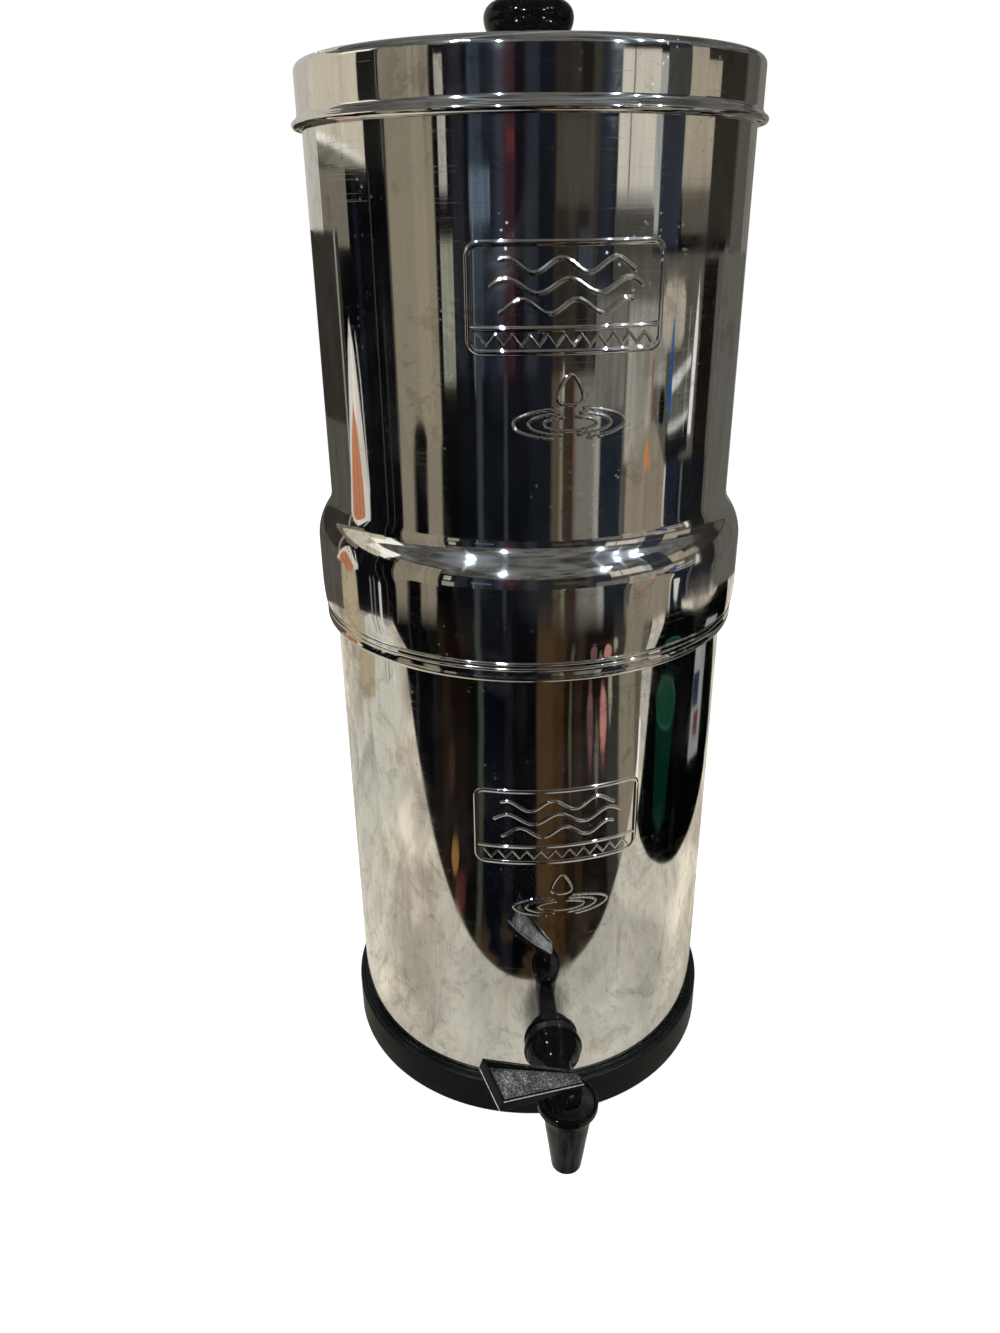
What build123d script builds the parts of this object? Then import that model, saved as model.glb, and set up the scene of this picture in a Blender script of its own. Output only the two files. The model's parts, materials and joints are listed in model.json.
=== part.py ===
from build123d import *
import os
from math import acos, atan2, cos, degrees, hypot, radians, sin, sqrt, tan

# Gravity water filter: two stacked steel chambers, a lift-off lid and a lever tap.
# Millimetres, +Z up. The origin is on the vessel's axis at the table, and the tap points along -Y.

# ---------------------------------------------------------------- clearances
rest_gap = 0.3            # between two pieces that lift or slide apart
seat_gap = 0.1            # between round pieces that are assembled one inside the other
run_gap = 0.05            # radial, a turning or sliding pin in its hole
cut_over = 1.0            # how far a cut runs past the face that it opens
root_l = 1.0              # how far a round piece runs into the one that it grows from

# ---------------------------------------------------------------- chambers, polished sheet
upper_r = 111.9           # outside of the upper wall, which every other round size follows
lower_out = 2.2           # lower wall's outside beyond the upper wall's
sheet_t = 0.8
lower_h = 359.1           # from the rubber web to the top of the rolled rim
rim_bead_r = 2.0          # section of the rim that is rolled inwards
floor_lip_h = 6.0         # upturned edge of each floor pan
floor_bend_r = 2.5        # inside bend between a floor and its edge

band_out = 8.8            # widest part of the skirt beyond the upper wall
shoulder_out_r = 27.0     # convex bend of the shoulder
shoulder_in_r = 17.0      # concave bend of the shoulder
band_h = 21.0             # straight part of the skirt
belly_h = 20.0            # lower part of the skirt, which draws in towards the hem
belly_in = 1.35           # how far it draws in
hem_bead_r = 2.4          # section of the hem that is rolled inwards
hem_neck_h = 3.6          # from the foot of the belly down to the middle of the rolled hem
hem_meet = 30.0           # degrees up the rolled hem, where the sheet leaves it
upper_h = 204.3           # from the shoulder's top to the top of the rolled rim
upper_floor_up = 3.0      # floor's underside above the shoulder's top

# ---------------------------------------------------------------- base ring, rubber
ring_out = 5.1            # outside, beyond the lower wall
ring_in = 7.1             # bore below the chamber, inside the lower wall's outside
ring_h = 24.8
ring_web_t = 4.0          # rubber under the edge of the chamber
ring_lip_h = 8.0          # inner lip, which also carries the chamber's floor
ring_shelf_w = 1.2        # flat top between the chamber and the groove
ring_groove_w = 1.0       # moulded groove round the top face
ring_groove_depth = 0.9

# ---------------------------------------------------------------- lid and knob
lid_out = 2.0             # outside of the lid's wall beyond the upper wall
lid_edge_r = 4.0          # bend between the top and the wall
lid_drop = 26.2           # from the lid's top to the middle of its rolled hem
lid_bead_r = 1.9          # section of the hem that is rolled outwards
lid_flare_r = 4.0         # bend between the lid's wall and its hem
lid_shelf_w = 19.9        # from the lid's wall to the foot of the slope
lid_panel_up = 1.6        # raised middle of the lid's top
lid_panel_slope_w = 6.0   # width of the slope up to the raised middle

knob_r = 21.8             # at the widest
knob_wide_z = 17.8        # height of the widest part above the lid
knob_top_z = 28.2
knob_foot_r = 13.5
knob_neck_r = 11.5
knob_neck_z = 5.0
knob_collar_h = 1.4       # upright edge of the foot
knob_neck_lean = 0.25     # sideways per upward step, where the waist starts to widen
knob_foot_lean = 0.3      # upward per inward step, above the foot's edge
insert_r = 4.0
insert_h = 12.0
screw_r = 2.5
screw_l = 11.0            # below its head
screw_head_r = 4.75
screw_head_h = 2.8
screw_head_edge_r = 1.0
screw_washer_r = 8.0
screw_washer_t = 1.0
recess_w = 2.6            # arm of the cross recess in the screw's head
recess_depth = 1.5

# ---------------------------------------------------------------- filter elements and plugs
element_in = 55.9         # circle of the stems and plugs, inside the upper wall's outside
element_r = 29.0
element_bore_r = 9.0
element_h = 138.0
base_cap_r = 30.5
base_cap_h = 16.0
base_cap_socket = 4.0     # depth of the cap's recess for the block
base_cap_chamfer = 1.0
top_cap_h = 8.0
top_cap_edge_r = 2.5
stem_r = 6.0              # threaded stem under an element or a plug
stem_l = 24.0
stem_bore_r = 2.5
seal_r = 15.0
seal_t = 2.0
wing_hub_r = 10.5
wing_hub_h = 9.0
wing_span = 38.0
wing_t = 3.0
wing_h = 7.0
wing_end_r = 3.15
plug_head_r = 12.0
plug_head_h = 4.0
plug_head_edge_r = 1.5
plug_stem_l = 16.0
plug_nut_af = 19.0        # across the flats
plug_nut_h = 6.0
nut_chamfer = 0.8         # corners of every hexagon nut

# ---------------------------------------------------------------- tap body
tap_z = 52.7              # height of the shank's axis
tap_reach = 54.9          # from the chamber's wall to the barrel's axis
shank_r = 8.0
shank_bore_r = 5.5
shank_in = 16.0           # how far the shank goes into the chamber
flange_r = 17.7
flange_t = 3.0
flange_edge_r = 1.1
dome_r = 16.4             # rounded nose in front of the flange
dome_l = 16.0
dome_end_lean = -0.12     # sideways per forward step, where the nose meets the neck
neck_r = 8.5
neck_fillet_r = 0.8       # where the neck runs into the barrel
neck_near = 0.5           # how far from the neck's surface that edge may lie
outer_washer_r = 16.6
outer_washer_t = 2.4
inner_washer_r = 14.0
inner_washer_t = 3.5
lock_nut_af = 26.0        # across the flats
lock_nut_h = 8.0

nozzle_drop = 34.7        # from the shank's axis down to the tip
nozzle_tip_r = 8.5
nozzle_bore_r = 6.6
nozzle_edge_r = 0.7
collar_r = 12.7
collar_h = 5.0            # straight collar above the nozzle's taper
funnel_r = 16.2           # top of the funnel under the bonnet
funnel_h = 6.0
barrel_up = 9.9           # from the shank's axis up to the joint with the bonnet
seat_drop = 8.7           # from the shank's axis down to the valve seat
seat_t = 3.0
seat_hole_r = 5.0
chamber_r = 9.0           # valve chamber
mouth_r = 11.0            # mouth that takes the bonnet's spigot
notch_w = 0.9             # moulding mark on the front of the collar
notch_h = 4.0
notch_depth = 0.5

# ---------------------------------------------------------------- tap head
bonnet_r = 16.9
bonnet_h = 5.4
bonnet_edge_r = 1.3
dish_r = 15.1
dish_depth = 3.0
spigot_l = 5.6
spring_pocket_r = 7.5
spring_pocket_h = 4.5
glide_r = 14.6
glide_hole_r = 6.6
glide_t = 1.2
valve_stem_r = 3.0
cup_r = 7.6
cup_h = 6.2
cup_cover_t = 1.7         # rubber under the end of the stem
cup_chamfer = 0.9
stem_collar_r = 6.4
stem_collar_t = 1.2
spring_r = 4.9            # middle of the coil
spring_wire_r = 0.45
spring_turns = 5.0
pin_r = 1.5
pin_up = 21.3             # lever pin above the shank's axis
eye_r = 4.0               # round eye at the stem's top
eye_w = 5.6
eye_root = 1.0            # how far the round shaft runs into the eye

# ---------------------------------------------------------------- lever, along +X before it is turned
lever_turn = 195.0        # degrees about the barrel, where the lever points at rest
lever_tilt = 20.25        # degrees, the tip stands higher
lever_rim_up = 31.1       # lever's top edge above the shank's axis, over the barrel
lever_back = 8.1          # along the slope, behind the barrel's axis
lever_front = 46.8        # along the slope, to the tip
lever_back_w = 10.2
lever_front_w = 31.6
lever_back_depth = 2.8
lever_front_depth = 6.8
lever_wall_t = 1.7
lever_end_wall_t = 1.5
lever_panel_back = 0.9    # depth of the thumb panel below the rim
lever_panel_front = 4.9
lever_edge_r = 0.6
cheek_gap = 0.15          # each side of the stem's eye
web_back = 6.0            # web under the lever, behind the barrel's axis
heel_front = 12.2         # web's front, where the heel bears on the glide ring
heel_t = 5.0
web_edge_r = 0.8

# ---------------------------------------------------------------- worked out
lower_r = upper_r + lower_out
band_r = upper_r + band_out
lid_r = upper_r + lid_out
ring_r = lower_r + ring_out
ring_bore_r = lower_r - ring_in
ring_lip_r = lower_r - sheet_t - seat_gap
element_place_r = upper_r - element_in

lower_rim_z = ring_web_t + lower_h
lower_bead_at = (lower_r - rim_bead_r, lower_rim_z - rim_bead_r)
lower_floor_z = ring_lip_h

turn = acos(1 - (band_r - upper_r) / (shoulder_out_r + shoulder_in_r))
# The shoulder rests on the lower rim: its two bends give two heights, and the higher one counts.
bead_room = rim_bead_r + rest_gap + sheet_t
in_bend_dx = upper_r + shoulder_in_r - lower_bead_at[0]
out_bend_dx = lower_bead_at[0] - (band_r - shoulder_out_r)
up_by_in_bend = sqrt((shoulder_in_r + bead_room) ** 2 - in_bend_dx ** 2)
up_by_out_bend = (shoulder_out_r + shoulder_in_r) * sin(turn) - sqrt(
    (shoulder_out_r - bead_room) ** 2 - out_bend_dx ** 2
)
shoulder_top_z = lower_bead_at[1] + max(up_by_in_bend, up_by_out_bend)
shoulder_foot_z = shoulder_top_z - (shoulder_out_r + shoulder_in_r) * sin(turn)
band_foot_z = shoulder_foot_z - band_h
hem_top_z = band_foot_z - belly_h
hem_top_r = band_r - belly_in
hem_bead_z = hem_top_z - hem_neck_h
hem_bead_place_r = hem_top_r - hem_bead_r
upper_rim_z = shoulder_top_z + upper_h
upper_floor_z = shoulder_top_z + upper_floor_up
upper_floor_top = upper_floor_z + sheet_t

lid_top_z = upper_rim_z + rest_gap + sheet_t
lid_bead_z = lid_top_z - lid_drop
lid_panel_z = lid_top_z + lid_panel_up

barrel_y = -(lower_r + tap_reach)
barrel_at = Pos(0, barrel_y, tap_z)       # barrel's axis, at the shank's height
shank_at = Pos(0, 0, tap_z)
flange_y = lower_r + outer_washer_t       # distance of the flange's back from the vessel's axis
inner_washer_y = lower_r - sheet_t - inner_washer_t
joint_z = barrel_up                       # heights from here to spring_h are above the shank's axis
mouth_z = joint_z - spigot_l
bonnet_top_z = joint_z + bonnet_h
dish_z = bonnet_top_z - dish_depth
glide_top_z = dish_z + glide_t
cup_z = -seat_drop + rest_gap
cup_top_z = cup_z + cup_h
stem_foot_z = cup_z + cup_cover_t
spring_z = cup_top_z + stem_collar_t
spring_top_z = mouth_z + spring_pocket_h
web_z = glide_top_z + rest_gap
heel_back = heel_front - heel_t
cheek_w = valve_stem_r + cheek_gap


# ---------------------------------------------------------------- helpers
def turned(*edges):
    """Solid turned about Z from a closed outline of edges in (radius, height)."""
    return revolve(Plane.XZ * make_face(edges), Axis.Z)


def tube(r, bore_r, height, z=0.0):
    """Upright tube standing at height z."""
    return Pos(0, 0, z) * (rod(r, height) - rod(bore_r, height))


def rod(r, height, z=0.0):
    """Upright cylinder standing at height z."""
    return Pos(0, 0, z) * Cylinder(r, height, align=(Align.CENTER, Align.CENTER, Align.MIN))


def outward(solid):
    """Turn a piece drawn along +Z so that it points out through the tap hole, along -Y."""
    return shank_at * Rot(90, 0, 0) * solid


def hexagon_nut(across_flats, height, bore_r):
    """Hexagon nut standing on z = 0 with its corners taken off."""
    nut = extrude(RegularPolygon(across_flats / 2, 6, major_radius=False), height)
    corner_r = across_flats / sqrt(3)
    nut &= chamfer(rod(corner_r, height).edges().filter_by(GeomType.CIRCLE), nut_chamfer)
    return nut - rod(bore_r, height)


def arc(centre, r, start, sweep):
    """Arc edge in (radius, height), with its angles in degrees."""
    return CenterArc(centre, r, start, sweep)


# ---------------------------------------------------------------- base ring
def base_ring():
    """Rubber ring with a slot for the chamber's edge and a groove round its top."""
    body = tube(ring_r, ring_bore_r, ring_h)
    body -= tube(lower_r, ring_bore_r, ring_h, ring_lip_h)
    body -= tube(lower_r, ring_lip_r, ring_h, ring_web_t)
    groove_r = lower_r + ring_shelf_w
    body -= tube(groove_r + ring_groove_w, groove_r, ring_h, ring_h - ring_groove_depth)
    return body


# ---------------------------------------------------------------- lower chamber
def rolled_rim(r, top_z):
    """Closed outline of the upper end of a wall that is rolled inwards, from its inside to its outside."""
    centre = (r - rim_bead_r, top_z - rim_bead_r)
    meet = degrees(acos((rim_bead_r - sheet_t) / rim_bead_r))
    inside_z = centre[1] - rim_bead_r * sin(radians(meet))
    return centre, inside_z, arc(centre, rim_bead_r, 0, 360 - meet)


def lower_wall():
    """Straight wall with its rim rolled inwards and the hole for the tap's shank."""
    centre, inside_z, rim = rolled_rim(lower_r, lower_rim_z)
    inside_r = lower_r - sheet_t
    foot = [(inside_r, inside_z), (inside_r, ring_web_t), (lower_r, ring_web_t), (lower_r, centre[1])]
    wall = turned(*Polyline(*foot).edges(), rim)
    return wall - outward(rod(shank_r + rest_gap, 2 * lower_r))


def floor_pan(r, z):
    """Round floor with its edge bent upwards, standing at height z."""
    inner_r = floor_bend_r
    outer_r = floor_bend_r + sheet_t
    bend_at = (r - outer_r, z + outer_r)
    top_z = z + floor_lip_h
    outline = [
        *Polyline((0, z + sheet_t), (0, z), (bend_at[0], z)).edges(),
        arc(bend_at, outer_r, -90, 90),
        *Polyline((r, bend_at[1]), (r, top_z), (r - sheet_t, top_z), (r - sheet_t, bend_at[1])).edges(),
        arc(bend_at, inner_r, 0, -90),
        Line((bend_at[0], z + sheet_t), (0, z + sheet_t)),
    ]
    return turned(*outline)


def lower_floor():
    """Floor of the lower chamber, on the rubber ring's lip."""
    return floor_pan(lower_r - sheet_t - seat_gap, lower_floor_z)


# ---------------------------------------------------------------- upper chamber
def upper_wall():
    """Straight wall of the upper chamber, from the shoulder's top to its rolled rim."""
    centre, inside_z, rim = rolled_rim(upper_r, upper_rim_z)
    inside_r = upper_r - sheet_t
    foot = [(inside_r, inside_z), (inside_r, shoulder_top_z), (upper_r, shoulder_top_z), (upper_r, centre[1])]
    return turned(*Polyline(*foot).edges(), rim)


def upper_skirt():
    """Shoulder, straight band, belly and rolled hem, which carry the wall on and reach over the lower chamber."""
    in_centre = (upper_r + shoulder_in_r, shoulder_top_z)
    out_centre = (band_r - shoulder_out_r, shoulder_foot_z)
    angle = degrees(turn)
    belly_r = (belly_h ** 2 + belly_in ** 2) / (2 * belly_in)
    belly_angle = degrees(atan2(belly_h, belly_r - belly_in))
    belly_centre = (band_r - belly_r, band_foot_z)
    inner_belly_r = belly_r - sheet_t
    inner_hem = (
        belly_centre[0] + inner_belly_r * cos(radians(belly_angle)),
        band_foot_z - inner_belly_r * sin(radians(belly_angle)),
    )
    hem_centre = (hem_bead_place_r, hem_bead_z)
    inner_meet = hem_meet + degrees(sheet_t / hem_bead_r)
    outer_meet_at, inner_meet_at = (
        (hem_centre[0] + hem_bead_r * cos(radians(meet)), hem_centre[1] + hem_bead_r * sin(radians(meet)))
        for meet in (hem_meet, inner_meet)
    )
    outline = [
        Line(outer_meet_at, (hem_top_r, hem_top_z)),
        arc(belly_centre, belly_r, -belly_angle, belly_angle),
        Line((band_r, band_foot_z), (band_r, shoulder_foot_z)),
        arc(out_centre, shoulder_out_r, 0, angle),
        arc(in_centre, shoulder_in_r, 180 + angle, -angle),
        Line((upper_r, shoulder_top_z), (upper_r - sheet_t, shoulder_top_z)),
        arc(in_centre, shoulder_in_r + sheet_t, 180, angle),
        arc(out_centre, shoulder_out_r - sheet_t, angle, -angle),
        Line((band_r - sheet_t, shoulder_foot_z), (band_r - sheet_t, band_foot_z)),
        arc(belly_centre, inner_belly_r, 0, -belly_angle),
        Line(inner_hem, inner_meet_at),
        arc(hem_centre, hem_bead_r, inner_meet, 360 - (inner_meet - hem_meet)),
    ]
    return turned(*outline)


def element_places():
    """Places of the two filter elements, left and right of the tap."""
    return {"left": (-element_place_r, 0), "right": (element_place_r, 0)}


def plug_places():
    """Places of the two blanked holes, at the front and the back."""
    return {"front": (0, -element_place_r), "back": (0, element_place_r)}


def upper_floor():
    """Floor of the upper chamber with four holes for elements or plugs."""
    pan = floor_pan(upper_r - sheet_t - seat_gap, upper_floor_z)
    for x, y in [*element_places().values(), *plug_places().values()]:
        pan -= Pos(x, y, 0) * rod(stem_r + seat_gap, floor_lip_h, upper_floor_z - sheet_t)
    return pan


# ---------------------------------------------------------------- filter elements, drawn on the floor's top
def element_seal():
    return tube(seal_r, stem_r + seat_gap, seal_t)


def element_base_cap():
    """Moulded cap with a socket for the block and the threaded outlet stem."""
    cap = rod(base_cap_r, base_cap_h, seal_t)
    cap = chamfer(cap.edges().filter_by(GeomType.CIRCLE), base_cap_chamfer)
    cap -= rod(element_r + seat_gap, base_cap_h, seal_t + base_cap_h - base_cap_socket)
    cap += rod(stem_r, stem_l + seal_t + root_l, -stem_l)
    return cap - rod(stem_bore_r, stem_l + base_cap_h + seal_t, -stem_l)


def element_block():
    """Hollow block of carbon."""
    return tube(element_r, element_bore_r, element_h, seal_t + base_cap_h - base_cap_socket)


def element_top_cap():
    """Moulded cap glued on the block."""
    z = seal_t + base_cap_h - base_cap_socket + element_h
    cap = rod(element_r, top_cap_h, z)
    return fillet(cap.edges().group_by(Axis.Z)[-1], top_cap_edge_r)


def element_wing_nut():
    """Plastic wing nut under the floor."""
    hub = rod(wing_hub_r, wing_hub_h, -sheet_t - wing_hub_h)
    wings = Box(wing_span, wing_t, wing_h, align=(Align.CENTER, Align.CENTER, Align.MAX))
    wings = fillet(wings.edges().filter_by(Axis.Y), wing_end_r)
    nut = hub + Pos(0, 0, -sheet_t - (wing_hub_h - wing_h) / 2) * wings
    return nut - rod(stem_r + seat_gap, stem_l, -stem_l)


# ---------------------------------------------------------------- blanking plugs, drawn on the floor's top
def plug_body():
    """Plug with a flat head above its seal and a threaded stem through the floor."""
    head = rod(plug_head_r, plug_head_h, seal_t)
    head = fillet(head.edges().group_by(Axis.Z)[-1], plug_head_edge_r)
    return head + rod(stem_r, plug_stem_l + seal_t + root_l, -plug_stem_l)


def plug_seal():
    return tube(plug_head_r, stem_r + seat_gap, seal_t)


def plug_nut():
    nut = hexagon_nut(plug_nut_af, plug_nut_h, stem_r + seat_gap)
    return Pos(0, 0, -sheet_t - plug_nut_h) * nut


# ---------------------------------------------------------------- lid
def lid_shell():
    """Lid with a raised middle, a bent edge, a flared hem rolled outwards and the screw's hole."""
    inside_r = lid_r - sheet_t
    under_z = lid_top_z - sheet_t
    bend_at = (lid_r - lid_edge_r, lid_top_z - lid_edge_r)
    bead_at = (inside_r + lid_bead_r, lid_bead_z)
    flare_dr = lid_r + lid_flare_r - bead_at[0]
    flare_up = sqrt((lid_flare_r + lid_bead_r) ** 2 - flare_dr ** 2)
    flare_at = (lid_r + lid_flare_r, lid_bead_z + flare_up)
    meet = degrees(atan2(flare_up, flare_dr))
    slope_r = lid_r - lid_shelf_w
    lid_panel_r = slope_r - lid_panel_slope_w
    outline = [
        Line((0, lid_panel_z), (lid_panel_r, lid_panel_z)),
        Line((lid_panel_r, lid_panel_z), (slope_r, lid_top_z)),
        Line((slope_r, lid_top_z), (bend_at[0], lid_top_z)),
        arc(bend_at, lid_edge_r, 90, -90),
        Line((lid_r, bend_at[1]), (lid_r, flare_at[1])),
        arc(flare_at, lid_flare_r, 180, meet),
        arc(bead_at, lid_bead_r, meet, -(180 + meet)),
        Line((inside_r, lid_bead_z), (inside_r, bend_at[1])),
        arc(bend_at, lid_edge_r - sheet_t, 0, 90),
        Line((bend_at[0], under_z), (slope_r, under_z)),
        Line((slope_r, under_z), (lid_panel_r, lid_panel_z - sheet_t)),
        Line((lid_panel_r, lid_panel_z - sheet_t), (0, lid_panel_z - sheet_t)),
        Line((0, lid_panel_z - sheet_t), (0, lid_panel_z)),
    ]
    return turned(*outline) - rod(screw_r + seat_gap, 2 * lid_edge_r, lid_top_z - lid_edge_r)


def lid_knob():
    """Moulded knob with a waist, and a blind hole for its insert."""
    top = (0, knob_top_z)
    widest = (knob_r, knob_wide_z)
    neck = (knob_neck_r, knob_neck_z)
    foot = (knob_foot_r, knob_collar_h)
    outline = [
        Spline(neck, widest, tangents=[(knob_neck_lean, 1), (0, 1)]),
        Spline(widest, top, tangents=[(0, 1), (-1, 0)]),
        *Polyline(top, (0, 0), (knob_foot_r, 0), foot).edges(),
        Spline(foot, neck, tangents=[(-1, knob_foot_lean), (0, 1)]),
    ]
    knob = Pos(0, 0, lid_panel_z) * turned(*outline)
    return knob - rod(insert_r, insert_h, lid_panel_z)


def knob_insert():
    return tube(insert_r, screw_r + run_gap, insert_h, lid_panel_z)


def knob_screw():
    """Pan-head screw from under the lid, with a cross recess."""
    under_z = lid_panel_z - sheet_t - screw_washer_t
    head = rod(screw_head_r, screw_head_h, under_z - screw_head_h)
    head = fillet(head.edges().group_by(Axis.Z)[0], screw_head_edge_r)
    for angle in (0, 90):
        bar = Box(2 * recess_w, recess_w / 2, 2 * recess_depth)
        head -= Pos(0, 0, under_z - screw_head_h) * Rot(0, 0, angle) * bar
    return head + rod(screw_r, screw_l, under_z)


def knob_washer():
    z = lid_panel_z - sheet_t - screw_washer_t
    return tube(screw_washer_r, screw_r + seat_gap, screw_washer_t, z)


# ---------------------------------------------------------------- tap body and its fixings
def tap_body():
    """Shank, flange, rounded nose, barrel, funnel and nozzle in one moulding, with the water's way."""
    shank = rod(shank_r, flange_y - inner_washer_y + shank_in, inner_washer_y - shank_in)
    flange = rod(flange_r, flange_t, flange_y)
    flange = fillet(flange.edges().filter_by(GeomType.CIRCLE), flange_edge_r)
    dome_z = flange_y + flange_t
    dome = turned(
        Line((0, dome_z - root_l), (dome_r, dome_z - root_l)),
        Line((dome_r, dome_z - root_l), (dome_r, dome_z)),
        Spline((dome_r, dome_z), (neck_r, dome_z + dome_l), tangents=[(0, 1), (dome_end_lean, 1)]),
        Line((neck_r, dome_z + dome_l), (0, dome_z + dome_l)),
        Line((0, dome_z + dome_l), (0, dome_z - root_l)),
    )
    neck = rod(neck_r, -barrel_y - dome_z - dome_l, dome_z + dome_l)
    side = outward(shank + flange + dome + neck)

    collar_z = joint_z - funnel_h
    taper_z = collar_z - collar_h
    upright = turned(
        *Polyline(
            (0, -nozzle_drop),
            (nozzle_tip_r, -nozzle_drop),
            (collar_r, taper_z),
            (collar_r, collar_z),
            (funnel_r, joint_z),
            (0, joint_z),
            close=True,
        ).edges()
    )
    body = side + barrel_at * upright
    body = fillet(neck_joint_edges(body), neck_fillet_r)
    body = fillet(tip_edges(body), nozzle_edge_r)

    chamber_h = mouth_z + seat_drop
    body -= barrel_at * rod(mouth_r, spigot_l, mouth_z)
    body -= barrel_at * rod(chamber_r, chamber_h, -seat_drop)
    body -= barrel_at * rod(seat_hole_r, nozzle_drop, -seat_drop - seat_t - cut_over)
    body -= barrel_at * rod(nozzle_bore_r, nozzle_drop - seat_drop - seat_t, -nozzle_drop)
    bore_start = inner_washer_y - shank_in - cut_over
    body -= outward(rod(shank_bore_r, -barrel_y - bore_start, bore_start))
    notch = Box(notch_w, 2 * notch_depth, notch_h)
    return body - barrel_at * Pos(0, -collar_r, collar_z - notch_h / 2) * notch


def neck_joint_edges(body):
    """Edges where the round neck runs into the barrel."""
    near = []
    for edge in body.edges():
        middle = edge @ 0.5
        beside_barrel = barrel_y < middle.Y < barrel_y + funnel_r
        level = abs(middle.Z - tap_z) < neck_r + neck_near
        across = hypot(middle.X, middle.Y - barrel_y)
        if beside_barrel and level and edge.geom_type != GeomType.CIRCLE and across > nozzle_tip_r:
            near.append(edge)
    return near


def tip_edges(body):
    """The nozzle's round tip edge."""
    return body.edges().filter_by(GeomType.CIRCLE).group_by(Axis.Z)[0]


def tap_washer_outer():
    """Rubber washer between the flange and the round wall."""
    washer = outward(tube(outer_washer_r, shank_r + rest_gap, flange_y))
    return washer - rod(lower_r, 2 * tap_z)


def tap_washer_inner():
    """Rubber washer between the round wall and the lock nut."""
    washer = outward(tube(inner_washer_r, shank_r + rest_gap, lower_r, inner_washer_y))
    return washer & rod(lower_r - sheet_t, 2 * tap_z)


def tap_lock_nut():
    nut = hexagon_nut(lock_nut_af, lock_nut_h, shank_r + seat_gap)
    return outward(Pos(0, 0, inner_washer_y - lock_nut_h) * nut)


# ---------------------------------------------------------------- tap head, drawn at the shank's height
def tap_bonnet():
    """Dished cap with a spigot into the barrel, the spring's pocket and the stem's guide."""
    cap = rod(bonnet_r, bonnet_h, joint_z)
    cap = fillet(cap.edges().filter_by(GeomType.CIRCLE), bonnet_edge_r)
    cap -= rod(dish_r, dish_depth, dish_z)
    cap += rod(mouth_r - seat_gap, spigot_l, mouth_z)
    cap -= rod(spring_pocket_r, spring_pocket_h, mouth_z)
    return barrel_at * (cap - rod(valve_stem_r + run_gap, 2 * joint_z, mouth_z))


def tap_glide_ring():
    """Slippery ring in the dish that turns with the lever."""
    return barrel_at * tube(glide_r, glide_hole_r, glide_t, dish_z)


def tap_stem():
    """Valve stem: a collar for the spring, a round shaft and an eye for the lever's pin."""
    eye_at = Pos(0, 0, pin_up) * Rot(90, 0, 0)
    stem = rod(valve_stem_r, pin_up - eye_r + eye_root - stem_foot_z, stem_foot_z)
    stem += rod(stem_collar_r, stem_collar_t, cup_top_z)
    stem += eye_at * Cylinder(eye_r, eye_w)
    stem -= eye_at * Cylinder(pin_r, eye_w)
    return barrel_at * Rot(0, 0, lever_turn) * stem


def tap_seat_cup():
    """Silicone cup on the end of the stem that closes the valve seat."""
    cup = rod(cup_r, cup_h, cup_z)
    cup = chamfer(cup.edges().group_by(Axis.Z)[0], cup_chamfer)
    return barrel_at * (cup - rod(valve_stem_r, cup_h, stem_foot_z))


def tap_spring():
    """Closing spring between the stem's collar and the bonnet."""
    low_z = spring_z + spring_wire_r + run_gap
    length = spring_top_z - low_z - spring_wire_r - run_gap
    path = Helix(pitch=length / spring_turns, height=length, radius=spring_r)
    wire = sweep(Plane(path @ 0, z_dir=path % 0) * Circle(spring_wire_r), path, is_frenet=True)
    return barrel_at * Pos(0, 0, low_z) * wire


def lever_place():
    """Turn of the lever, its web and its pin about the barrel at rest."""
    return barrel_at * Rot(0, 0, lever_turn)


def tap_lever_pin():
    length = 2 * (lever_back_w / 2 - seat_gap)
    return lever_place() * Pos(0, 0, pin_up) * Rot(90, 0, 0) * Cylinder(pin_r, length)


def tapered_plan(back_x, front_x, back_w, front_w):
    """Flat trapezoid, symmetrical about X."""
    corners = [(back_x, -back_w / 2), (front_x, -front_w / 2), (front_x, front_w / 2), (back_x, back_w / 2)]
    return make_face(Polyline(*corners, close=True))


def side_slab(back_x, front_x, back_low, front_low, high, width):
    """Slab across Y whose underside slopes from back_low to front_low."""
    corners = [(back_x, back_low), (front_x, front_low), (front_x, high), (back_x, high)]
    return extrude(Plane.XZ * make_face(Polyline(*corners, close=True)), width / 2, both=True)


def lever_underside(x):
    """Height of the paddle's underside at x from the barrel's axis, above the shank's axis."""
    slope = (lever_front_depth - lever_back_depth) / (lever_front + lever_back)
    depth = lever_back_depth + slope * (x + lever_back)
    return lever_rim_up + x * tan(radians(lever_tilt)) - depth / cos(radians(lever_tilt))


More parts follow.
